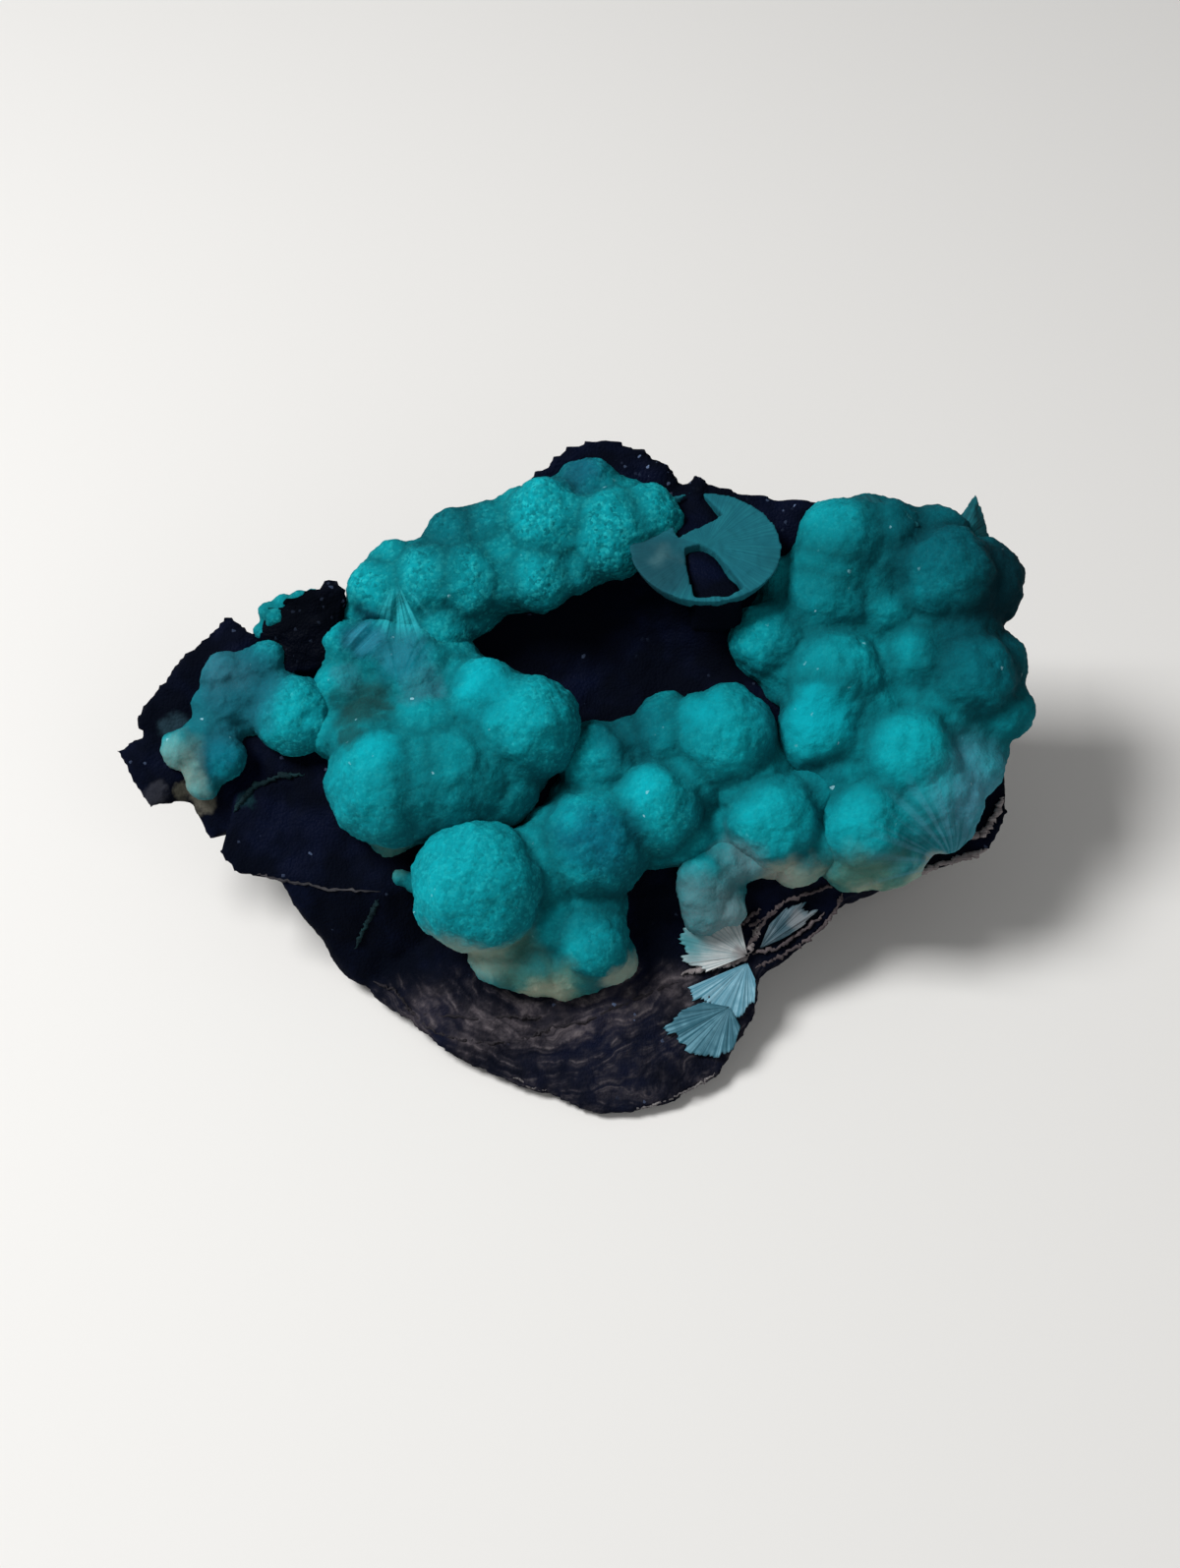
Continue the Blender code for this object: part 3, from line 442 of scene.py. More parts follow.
class Bench:
    """Adds nodes to a tree, one column after another, and joins them."""

    def __init__(self, tree):
        self.tree = tree
        self.count = 0

    def node(self, kind, inputs=None, **values):
        """A new node, with its own settings in values and its inputs' values or sources in inputs."""
        made = self.tree.nodes.new(kind)
        made.location = (self.count % 12 * 220, -(self.count // 12) * 300)
        self.count += 1
        for name, value in values.items():
            setattr(made, name, value)
        for name, value in (inputs or {}).items():
            if isinstance(value, bpy.types.NodeSocket):
                self.tree.links.new(value, made.inputs[name])
            else:
                made.inputs[name].default_value = value
        return made

    def math(self, operation, first, second=0.0, clamp=False):
        made = self.node("ShaderNodeMath", {0: first, 1: second}, operation=operation, use_clamp=clamp)
        return made.outputs[0]

    def scaled(self, vector, scale):
        made = self.node("ShaderNodeVectorMath", {0: vector}, operation="SCALE")
        if isinstance(scale, bpy.types.NodeSocket):
            self.tree.links.new(scale, made.inputs["Scale"])
        else:
            made.inputs["Scale"].default_value = scale
        return made.outputs[0]

    def ramp(self, value, low, high, to_low=0.0, to_high=1.0):
        """The value's way from low to high, as a number from to_low to to_high."""
        return self.node(
            "ShaderNodeMapRange",
            {"Value": value, "From Min": low, "From Max": high, "To Min": to_low, "To Max": to_high},
            interpolation_type="SMOOTHSTEP",
        ).outputs["Result"]

    def blend(self, factor, first, second, kind="MIX"):
        """A colour between two others."""
        made = self.node(
            "ShaderNodeMix", {0: factor, 6: first, 7: second}, data_type="RGBA", blend_type=kind,
        )
        return made.outputs[2]


def new_group(name, inputs, outputs):
    """An empty shader node group with the given sockets, and its bench."""
    tree = bpy.data.node_groups.new(name, "ShaderNodeTree")
    for label, kind, value in inputs:
        socket = tree.interface.new_socket(label, in_out="INPUT", socket_type="NodeSocket" + kind)
        if value is not None:
            socket.default_value = value
    for label, kind in outputs:
        tree.interface.new_socket(label, in_out="OUTPUT", socket_type="NodeSocket" + kind)
    bench = Bench(tree)
    return bench, bench.node("NodeGroupInput").outputs, bench.node("NodeGroupOutput").inputs


def fine_grain_group():
    """Small crystal tips: their height, and a shade that changes from one tip to the next."""
    if "fine_grain" in bpy.data.node_groups:
        return bpy.data.node_groups["fine_grain"]
    bench, given, out = new_group(
        "fine_grain",
        [("Vector", "Vector", None), ("Size", "Float", 0.0003), ("Sharpness", "Float", 0.5)],
        [("Height", "Float"), ("Shade", "Float")],
    )
    place = bench.scaled(given["Vector"], bench.math("DIVIDE", 1.0, given["Size"]))
    cells = bench.node(
        "ShaderNodeTexVoronoi", {"Vector": place, "Scale": 1.0, "Randomness": 1.0}, feature="F1",
    )
    round_tip = bench.math("SUBTRACT", 1.0, cells.outputs["Distance"], clamp=True)
    edges = bench.node("ShaderNodeTexNoise", {"Vector": place, "Scale": 2.2, "Detail": 2.0})
    rough_tip = bench.math("MULTIPLY", edges.outputs["Fac"], given["Sharpness"])
    height = bench.math("ADD", round_tip, rough_tip)
    shade = bench.node("ShaderNodeSeparateColor", {"Color": cells.outputs["Color"]}).outputs[0]
    bench.tree.links.new(height, out["Height"])
    bench.tree.links.new(shade, out["Shade"])
    return bench.tree


def drift_group():
    """Soft changes over a few millimetres, as a number from 0 to 1."""
    if "slow_drift" in bpy.data.node_groups:
        return bpy.data.node_groups["slow_drift"]
    bench, given, out = new_group(
        "slow_drift",
        [("Vector", "Vector", None), ("Size", "Float", 0.003), ("Low", "Float", 0.35), ("High", "Float", 0.65)],
        [("Amount", "Float")],
    )
    place = bench.scaled(given["Vector"], bench.math("DIVIDE", 1.0, given["Size"]))
    noise = bench.node("ShaderNodeTexNoise", {"Vector": place, "Scale": 1.0, "Detail": 3.0, "Roughness": 0.6})
    amount = bench.ramp(noise.outputs["Fac"], given["Low"], given["High"])
    bench.tree.links.new(amount, out["Amount"])
    return bench.tree


def patch_group():
    """A round patch with a soft edge: 1 at its centre and 0 outside."""
    if "round_patch" in bpy.data.node_groups:
        return bpy.data.node_groups["round_patch"]
    bench, given, out = new_group(
        "round_patch",
        [("Vector", "Vector", None), ("Centre", "Vector", None), ("Radius", "Float", 0.002),
         ("Softness", "Float", 0.5)],
        [("Mask", "Float")],
    )
    away = bench.node(
        "ShaderNodeVectorMath", {0: given["Vector"], 1: given["Centre"]}, operation="DISTANCE",
    ).outputs["Value"]
    inner = bench.math("MULTIPLY", given["Radius"], bench.math("SUBTRACT", 1.0, given["Softness"]))
    mask = bench.ramp(away, inner, given["Radius"], 1.0, 0.0)
    bench.tree.links.new(mask, out["Mask"])
    return bench.tree


def use_group(bench, tree, **inputs):
    """Places a group and sets its inputs, whose names are written with underscores for spaces."""
    made = bench.node("ShaderNodeGroup", node_tree=tree)
    for name, value in inputs.items():
        socket = made.inputs[name.replace("_", " ")]
        if isinstance(value, bpy.types.NodeSocket):
            bench.tree.links.new(value, socket)
        else:
            socket.default_value = value
    return made.outputs


def new_material(name):
    """A material with an empty Principled shader: its bench, its shader, and the piece's own coordinates."""
    material = bpy.data.materials.new(name)
    material.use_nodes = True
    bench = Bench(material.node_tree)
    shader = material.node_tree.nodes["Principled BSDF"]
    where = bench.node("ShaderNodeTexCoord").outputs["Object"]
    return material, bench, shader, where


def set_shader(shader, **values):
    for name, value in values.items():
        shader.inputs[name.replace("_", " ")].default_value = value


def height_over_bed(bench, where):
    """How far a point stands over the bed, in metres."""
    normal = bed_normal()
    on_bed = millimetres((0.0, *BED_FRONT))
    along = bench.node("ShaderNodeVectorMath", {0: where, 1: normal}, operation="DOT_PRODUCT").outputs["Value"]
    return bench.math("SUBTRACT", along, normal.dot(on_bed))


def add_patches(bench, where, colour, patches, kind="MIX"):
    """Mixes soft round patches of other colours into a colour, or shades it. Their edges wander."""
    noise = bench.node("ShaderNodeTexNoise", {"Vector": bench.scaled(where, 700.0), "Scale": 1.0, "Detail": 3.0})
    shift = bench.node("ShaderNodeVectorMath", {0: noise.outputs["Color"], 1: (0.5, 0.5, 0.5)}, operation="SUBTRACT")
    bent = bench.node(
        "ShaderNodeVectorMath", {0: bench.scaled(shift.outputs[0], PATCH_WANDER), 1: where}, operation="ADD",
    ).outputs[0]
    for centre, radius, softness, strength, tint in patches:
        mask = use_group(
            bench, patch_group(), Vector=bent, Centre=millimetres(centre), Radius=radius * MM, Softness=softness,
        )["Mask"]
        colour = bench.blend(bench.math("MULTIPLY", mask, strength), colour, (*tint, 1.0), kind)
    return colour


PATCH_WANDER = 0.0022
OLIVE, BEIGE, PALE, STAIN = (0.080, 0.170, 0.120), (0.340, 0.380, 0.290), (0.300, 0.330, 0.310), (0.007, 0.034, 0.033)
# The last of these, the dark green, is painted shade, for a shaded broken side and a crevice
BLUE_GREY, DEEP_BLUE, PAINTED_SHADE_GREEN = (0.045, 0.160, 0.215), (0.010, 0.110, 0.150), (0.001, 0.018, 0.026)
ARM_GREY, ARM_PINK, HAZE = (0.120, 0.205, 0.225), (0.210, 0.190, 0.190), (0.075, 0.260, 0.350)

# Painted highlight: the colour of the brightest lit crowns of balls
PAINTED_HIGHLIGHT = (0.001, 0.400, 0.480)

# Patches of other colours on the crust: centre, radius, softness, strength, colour. The bright green ones are painted
# highlights on lit crowns of balls, and the dark green ones painted shade.
CRUST_PATCHES = [
    ((-22.0, 3.6, 14.5), 4.6, 0.5, 0.55, DEEP_BLUE),
    ((-22.4, 4.6, 15.2), 2.4, 0.9, 0.40, BLUE_GREY),
    ((-24.8, 0.4, 11.8), 2.3, 0.8, 0.28, BEIGE),
    ((-24.0, -1.0, 11.0), 1.7, 0.8, 0.28, BEIGE),
    ((-13.6, 2.1, 15.2), 2.4, 0.6, 0.85, STAIN),
    ((-14.2, -0.2, 14.8), 1.1, 0.6, 0.6, STAIN),
    ((-10.0, 3.0, 15.6), 1.8, 0.6, 0.40, BLUE_GREY),
    ((-14.9, 4.0, 15.6), 1.3, 0.8, 0.30, BLUE_GREY),
    ((-11.9, -4.4, 8.8), 1.9, 0.7, 0.50, OLIVE),
    ((-4.9, -9.4, 6.2), 3.2, 0.7, 0.60, OLIVE),
    ((-7.4, -10.0, 6.8), 3.4, 0.8, 0.50, BEIGE),
    ((-2.4, -12.0, 4.4), 3.4, 0.6, 0.70, OLIVE),
    ((-2.6, -12.4, 4.2), 2.6, 0.7, 0.80, BEIGE),
    ((2.4, -11.2, 4.8), 2.3, 0.6, 0.60, BEIGE),
    ((16.6, -6.2, 8.0), 4.2, 0.7, 0.75, OLIVE),
    ((16.4, -7.2, 6.8), 2.2, 0.7, 0.70, BEIGE),
    ((19.8, -6.0, 7.8), 2.2, 0.7, 0.60, BEIGE),
    ((12.0, -5.6, 8.4), 2.6, 0.7, 0.65, BEIGE),
    ((9.4, -5.0, 9.2), 2.6, 0.8, 0.60, ARM_GREY),
    ((8.4, -8.0, 6.8), 2.2, 0.7, 0.80, ARM_GREY),
    ((6.8, -7.4, 7.8), 3.2, 0.8, 0.55, ARM_GREY),
    ((-6.2, 2.2, 17.0), 2.8, 0.8, 0.45, PAINTED_HIGHLIGHT),
    ((-12.4, -1.6, 15.4), 1.8, 0.9, 0.45, PAINTED_HIGHLIGHT),
    ((13.6, 0.6, 15.8), 2.8, 0.8, 0.65, PAINTED_HIGHLIGHT),
    ((6.8, 0.8, 15.6), 2.3, 0.9, 0.50, PAINTED_HIGHLIGHT),
    ((3.4, -2.8, 13.0), 2.0, 0.9, 0.40, PAINTED_HIGHLIGHT),
    ((11.6, -5.0, 8.6), 1.8, 0.8, 0.50, ARM_PINK),
    ((-0.6, 15.3, 21.6), 2.4, 0.9, 0.35, DEEP_BLUE),
    ((25.2, 9.2, 17.8), 4.3, 0.5, 0.94, PAINTED_SHADE_GREEN),
    ((22.2, -1.6, 11.2), 4.8, 0.9, 0.75, HAZE),
    ((21.0, -4.6, 8.6), 1.6, 0.7, 0.60, PALE),
    ((-1.6, -1.6, 10.4), 2.6, 0.8, 0.50, PAINTED_SHADE_GREEN),
]

# Painted shade: parts of the crust that lie in less light, darkened as a share of the colour that they have otherwise.
# On the flat cluster at the left it also makes the crust greyer.
DIM, DIM_BLUE = (0.50, 0.36, 0.40), (0.60, 0.30, 0.42)
CRUST_PAINTED_SHADE = [
    ((22.0, 12.5, 20.0), 9.5, 0.7, 0.95, DIM),
    ((24.0, 5.0, 16.5), 6.6, 0.7, 0.90, DIM),
    ((21.0, 9.0, 21.0), 4.2, 0.7, 0.40, DIM),
    ((15.0, 10.4, 21.5), 5.0, 0.8, 0.15, DIM),
    ((13.0, 7.0, 17.5), 4.5, 0.8, 0.40, DIM),
    ((-15.2, -2.5, 12.8), 3.6, 0.8, 0.30, DIM),
    ((0.8, -5.6, 12.0), 3.4, 0.8, 0.75, DIM_BLUE),
    ((0.2, -9.6, 8.8), 3.0, 0.8, 0.45, DIM),
    ((-22.2, 0.4, 12.4), 2.6, 0.7, 0.80, DIM_BLUE),
    ((-13.6, 6.0, 17.0), 2.2, 0.7, 0.85, DIM_BLUE),
    ((-11.4, 4.6, 16.4), 2.6, 0.8, 0.70, DIM_BLUE),
    ((2.4, 1.1, 13.6), 4.2, 0.7, 0.85, DIM),
    ((-1.5, 0.9, 12.0), 2.8, 0.7, 0.90, DIM),
    ((-0.6, -4.7, 10.6), 3.0, 0.7, 0.70, DIM_BLUE),
    ((1.6, -6.0, 9.0), 3.0, 0.7, 0.75, DIM),
    ((-8.8, 12.6, 20.2), 4.0, 0.7, 0.75, DIM),
    ((-0.6, 15.2, 21.5), 3.0, 0.9, 0.90, DIM_BLUE),
    ((-21.6, 4.0, 14.5), 4.4, 0.7, 0.75, DIM_BLUE),
    ((5.9, -1.7, 11.0), 2.2, 0.8, 0.60, DIM),
    ((10.4, 1.4, 14.6), 2.6, 0.8, 0.55, DIM),
    ((13.9, -1.4, 12.8), 2.2, 0.8, 0.60, DIM),
]

# Fibres that show in the skin of the crust: where they start, the middle and the radius of the part where
# they show, how strong they are, how many there are, and their colour
CRUST_FIBRES = [
    ((21.8, -5.2, 9.0), (21.8, -5.2, 9.0), 7.4, 0.36, 9.0, (0.085, 0.260, 0.350)),
    ((-11.7, 9.0, 18.5), (-11.4, 7.0, 17.4), 2.1, 0.90, 9.0, (0.028, 0.410, 0.470)),
    ((-11.4, 3.2, 15.3), (-11.3, 4.9, 16.8), 2.4, 0.80, 5.0, (0.014, 0.165, 0.220)),
    ((-18.6, 1.9, 13.8), (-13.7, 6.0, 17.0), 1.9, 0.90, 15.0, (0.022, 0.200, 0.280)),
]
GLINT = (0.35, 0.65, 0.75)


def crystal_material(settings):
    """Green wavellite: sugary and dull, with painted light on its crowns, painted shade in its creases and patches of
    painted shade and highlight, and beige at its thin edges.
    """
    material, bench, shader, where = new_material("crystal_green")
    grain = use_group(bench, fine_grain_group(), Vector=where, Size=settings.grain_size * 0.6, Sharpness=0.8)
    drift = use_group(bench, drift_group(), Vector=where, Size=0.0016, Low=0.34, High=0.68)["Amount"]
    crease = bench.node("ShaderNodeAttribute", attribute_name="crease").outputs["Fac"]
    crown = bench.node("ShaderNodeAttribute", attribute_name="crown").outputs["Fac"]
    tip = bench.node("ShaderNodeAttribute", attribute_name="tip").outputs["Fac"]
    # Painted light and shade: the side of each ball that faces the painted light is lighter and the side away from it
    # darker, mixed with a random drift
    light = bench.math("ADD", bench.math("MULTIPLY", crown, 0.75), bench.math("MULTIPLY", drift, 0.35))
    colour = bench.blend(bench.ramp(light, 0.05, 1.05), tuple(settings.colour_shaded_deep), tuple(settings.colour_lit_crown))
    depth = bench.node("ShaderNodeSeparateXYZ", {0: where}).outputs[1]
    side = bench.node("ShaderNodeSeparateXYZ", {0: where}).outputs[0]
    sugary = bench.math("MULTIPLY", bench.ramp(depth, 0.0, 0.009, 0.25, 0.60), bench.ramp(side, 0.005, 0.013, 1.0, 0.4))
    shine = bench.math("MULTIPLY", bench.ramp(grain["Shade"], 0.55, 1.0), sugary)
    colour = bench.blend(shine, colour, tuple(settings.colour_tip))
    # Dark pits: random dark grains, and painted shade in the hollows between the grain tips
    fine_pits = bench.math("MULTIPLY", bench.ramp(grain["Shade"], 0.40, 0.0), 0.8)
    pits = bench.math("MAXIMUM", bench.math("MULTIPLY", bench.ramp(tip, 0.35, 0.80), 0.55), fine_pits)
    pits = bench.math("MULTIPLY", pits, sugary)
    # Painted shade in the creases between balls, together with the dark pits
    dark = bench.math("MAXIMUM", bench.math("MULTIPLY", crease, 0.65), pits)
    colour = bench.blend(dark, colour, tuple(settings.colour_crease_shade))
    # Painted shade over the crust, darker where less light falls
    colour = add_patches(bench, where, colour, CRUST_PAINTED_SHADE, "MULTIPLY")
    # Patches of other colours, with painted highlights and painted shade among them
    colour = add_patches(bench, where, colour, CRUST_PATCHES)
    for centre, middle, reach, strength, count, tint in CRUST_FIBRES:
        streak = use_group(
            bench, fibres_group(), Vector=where, Centre=millimetres(centre), Axis=bed_normal(), Count=count,
        )["Streak"]
        near = use_group(
            bench, patch_group(), Vector=where, Centre=millimetres(middle), Radius=reach * MM, Softness=0.7,
        )["Mask"]
        amount = bench.math("MULTIPLY", bench.math("MULTIPLY", near, bench.ramp(streak, 0.1, 0.9)), strength)
        colour = bench.blend(amount, colour, (*tint, 1.0))
    glint = bench.math("MULTIPLY", bench.ramp(grain["Shade"], 0.995, 1.0), bench.ramp(drift, 0.6, 1.0, 0.0, 0.6))
    colour = bench.blend(glint, colour, (*GLINT, 1.0))
    bench.tree.links.new(colour, shader.inputs["Base Color"])
    bump = bench.node("ShaderNodeBump", {"Height": grain["Height"], "Strength": 0.5, "Distance": 0.00005})
    bench.tree.links.new(bump.outputs["Normal"], shader.inputs["Normal"])
    set_shader(
        shader, Roughness=0.9, Specular_IOR_Level=0.06, Subsurface_Weight=0.3, Subsurface_Scale=0.0005, IOR=1.53,
    )
    shader.inputs["Subsurface Radius"].default_value = (0.1, 0.9, 1.0)
    return material


def fibres_group():
    """Straight streaks that run out from a centre, all round an axis, as a number from 0 to 1."""
    if "radial_fibres" in bpy.data.node_groups:
        return bpy.data.node_groups["radial_fibres"]
    bench, given, out = new_group(
        "radial_fibres",
        [("Vector", "Vector", None), ("Centre", "Vector", None), ("Axis", "Vector", None),
         ("Count", "Float", 16.0)],
        [("Streak", "Float")],
    )
    away = bench.node("ShaderNodeVectorMath", {0: given["Vector"], 1: given["Centre"]}, operation="SUBTRACT")
    along = bench.node("ShaderNodeVectorMath", {0: away.outputs[0], 1: given["Axis"]}, operation="DOT_PRODUCT")
    lift = bench.scaled(given["Axis"], along.outputs["Value"])
    flat = bench.node("ShaderNodeVectorMath", {0: away.outputs[0], 1: lift}, operation="SUBTRACT").outputs[0]
    out_way = bench.node("ShaderNodeVectorMath", {0: flat}, operation="NORMALIZE").outputs[0]
    noise_at = bench.scaled(out_way, given["Count"])
    noise = bench.node("ShaderNodeTexNoise", {"Vector": noise_at, "Scale": 1.0, "Detail": 3.0})
    bench.tree.links.new(bench.ramp(noise.outputs["Fac"], 0.32, 0.68), out["Streak"])
    return bench.tree


def fibre_material(name, centre, colours, count, roughness, patches=(), axis=None):
    """Broken wavellite or a vein: lighter fibres that run out from a centre over a darker ground."""
    material, bench, shader, where = new_material("fibres_" + name)
    streak = use_group(
        bench, fibres_group(), Vector=where, Centre=centre, Axis=axis or bed_normal(), Count=count,
    )["Streak"]
    drift = use_group(bench, drift_group(), Vector=where, Size=0.0018, Low=0.35, High=0.65)["Amount"]
    light = bench.math("MULTIPLY", streak, bench.ramp(drift, 0.0, 1.0, 0.35, 1.0))
    colour = bench.blend(light, *colours)
    colour = add_patches(bench, where, colour, patches)
    bench.tree.links.new(colour, shader.inputs["Base Color"])
    bump = bench.node("ShaderNodeBump", {"Height": streak, "Strength": 0.4, "Distance": 0.00005})
    bench.tree.links.new(bump.outputs["Normal"], shader.inputs["Normal"])
    set_shader(shader, Roughness=roughness, Specular_IOR_Level=0.12)
    return material


SPLIT_PATCHES = [
    ((3.9, 8.6, 20.3), 3.6, 0.7, 0.75, (0.008, 0.045, 0.062)),
    ((4.3, 9.3, 20.3), 1.3, 1.0, 0.45, (0.070, 0.170, 0.190)),
    ((11.3, 8.6, 20.0), 1.8, 0.8, 0.40, (0.004, 0.060, 0.075)),
]
FLAKE_PATCHES = [
    ((9.2, -8.9, 4.6), 0.8, 0.7, 0.70, (0.150, 0.120, 0.120)),
    ((13.0, -6.8, 5.4), 1.2, 0.6, 0.60, (0.220, 0.230, 0.240)),
    ((5.4, -8.4, 5.2), 2.2, 0.8, 0.85, (0.015, 0.210, 0.245)),
]


def rock_material(settings):
    """Black stone in thin layers: blue black faces, brown and grey streaks along the layers, painted sheen on its sharp
    edges, and few bright specks of painted glint.
    """
    material, bench, shader, where = new_material("black_rock")
    grain = use_group(bench, fine_grain_group(), Vector=where, Size=0.00018, Sharpness=0.9)
    drift = use_group(bench, drift_group(), Vector=where, Size=0.004, Low=0.4, High=0.7)["Amount"]
    fine = use_group(bench, drift_group(), Vector=where, Size=0.0009, Low=0.4, High=0.65)["Amount"]
    colour = bench.blend(drift, tuple(settings.colour_black), tuple(settings.colour_blue))
    layer = layer_value(bench, where, settings.layer_thickness)
    thin = layer_value(bench, where, settings.layer_thickness * 0.25)
    in_front = front_share(bench, where)
    mottled = use_group(bench, drift_group(), Vector=where, Size=0.0009, Low=0.32, High=0.70)["Amount"]
    brown = bench.math("MULTIPLY", in_front, bench.ramp(mottled, 0.0, 1.0, 0.30, 0.90))
    brown = bench.math("MULTIPLY", brown, bench.ramp(layer, 0.36, 0.62, 0.25, 1.0))
    brown_here = add_patches(bench, where, tuple(settings.colour_brown), BAND_PATCHES)
    colour = bench.blend(brown, colour, brown_here)
    broad = bench.math("MULTIPLY", bench.ramp(layer, 0.44, 0.66), bench.ramp(thin, 0.40, 0.65, 0.2, 1.0))
    streak = bench.math("MULTIPLY", broad, bench.math("MULTIPLY", fine, mottled))
    colour = bench.blend(bench.math("MULTIPLY", streak, in_front), colour, tuple(settings.colour_streak))
    # Painted sheen: the stone's sharp edges are lighter
    edge = bench.ramp(bench.node("ShaderNodeNewGeometry").outputs["Pointiness"], 0.54, 0.64, 0.0, 0.7)
    colour = bench.blend(bench.math("MULTIPLY", edge, fine), colour, tuple(settings.colour_edge_sheen))
    # Painted glints: a few bright specks, and more where the stone sparkles
    specks = bench.math("MULTIPLY", bench.ramp(grain["Shade"], 0.996, 1.0), drift)
    for centre, radius in SPARKLES:
        near = use_group(
            bench, patch_group(), Vector=where, Centre=millimetres(centre), Radius=radius * MM, Softness=0.6,
        )["Mask"]
        more = bench.math("MULTIPLY", bench.ramp(grain["Shade"], 0.965, 1.0), near)
        specks = bench.math("MAXIMUM", specks, more)
    colour = bench.blend(specks, colour, tuple(settings.colour_speck_glint))
    colour = add_patches(bench, where, colour, STONE_PATCHES)
    bench.tree.links.new(colour, shader.inputs["Base Color"])
    rough = bench.ramp(drift, 0.0, 1.0, 0.75, 0.5)
    bench.tree.links.new(rough, shader.inputs["Roughness"])
    height = bench.math("ADD", grain["Height"], bench.math("MULTIPLY", layer, 2.0))
    bump = bench.node("ShaderNodeBump", {"Height": height, "Strength": 0.6, "Distance": 0.00008})
    bench.tree.links.new(bump.outputs["Normal"], shader.inputs["Normal"])
    set_shader(shader, Specular_IOR_Level=0.02)
    return material


# Parts that sparkle more than the rest of the stone, as centre and radius: the dark block and the back rim
SPARKLES = [((-18.6, 7.4, 17.0), 5.5), ((4.6, 16.6, 21.2), 3.2), ((12.5, 15.2, 20.2), 2.6)]

# Patches of thin crust and clay on the stone, and of its blackest parts
STONE_PATCHES = [
    ((-17.6, 6.8, 16.6), 4.0, 0.5, 0.85, (0.0004, 0.0010, 0.0024)),
    ((-23.6, -0.7, 9.4), 1.1, 0.5, 0.85, (0.110, 0.105, 0.085)),
    ((-24.9, -0.5, 10.0), 0.9, 0.5, 0.80, (0.120, 0.115, 0.090)),
    ((-26.4, -1.0, 10.2), 0.9, 0.6, 0.60, (0.035, 0.037, 0.048)),
    ((-25.4, 2.5, 12.3), 1.3, 0.6, 0.70, (0.020, 0.045, 0.062)),
    ((-20.9, -1.1, 10.1), 0.8, 0.6, 0.50, (0.008, 0.040, 0.045)),
]

# The lighter band across the layered front: centre, radius, softness, strength, colour
BAND_COLOUR = (0.105, 0.090, 0.100)
BAND_PATCHES = [
    ((-9.8, -11.0, 1.9), 2.2, 0.8, 0.70, BAND_COLOUR),
    ((-7.0, -12.4, 2.0), 2.3, 0.8, 0.80, BAND_COLOUR),
    ((-4.0, -12.4, 2.4), 2.6, 0.8, 0.85, BAND_COLOUR),
    ((-1.0, -12.2, 2.8), 2.5, 0.8, 0.85, BAND_COLOUR),
    ((2.0, -11.6, 3.3), 2.4, 0.8, 0.80, BAND_COLOUR),
    ((5.0, -10.6, 3.8), 2.4, 0.8, 0.80, BAND_COLOUR),
]


def layer_value(bench, where, thickness):
    """Thin wandering layers that curve about the front of the stone: a number that swings about 0.5."""
    wander = bench.node("ShaderNodeTexNoise", {"Vector": bench.scaled(where, 190.0), "Scale": 1.0, "Detail": 4.0})
    away = bench.node("ShaderNodeVectorMath", {0: where, 1: LAYERS_ABOUT}, operation="DISTANCE").outputs["Value"]
    bent = bench.math("ADD", away, bench.math("MULTIPLY", wander.outputs["Fac"], LAYER_WANDER))
    flat = bench.node("ShaderNodeCombineXYZ", {2: bench.math("DIVIDE", bent, thickness)}).outputs[0]
    return bench.node("ShaderNodeTexNoise", {"Vector": flat, "Scale": 1.0, "Detail": 2.0}).outputs["Fac"]


def front_share(bench, where):
    """How much a point belongs to the layered front of the stone, from 0 to 1."""
    parts = bench.node("ShaderNodeSeparateXYZ", {0: where}).outputs
    return bench.math("MULTIPLY", bench.ramp(parts[1], -0.0085, -0.0105), bench.ramp(parts[2], 0.0070, 0.0055))


LAYER_WANDER, STONE_WEAR = 0.0055, 2
# The middle of the dark block, which is rougher than the rest of the stone
ROUGH_AT = (-17.6, 7.0, 16.8)
# The front of the stone is a stack of curved layers about this point, and a radius; both in metres
LAYERS_ABOUT, LAYERS_REACH = (-0.0020, -0.0050, 0.0085), 0.0165


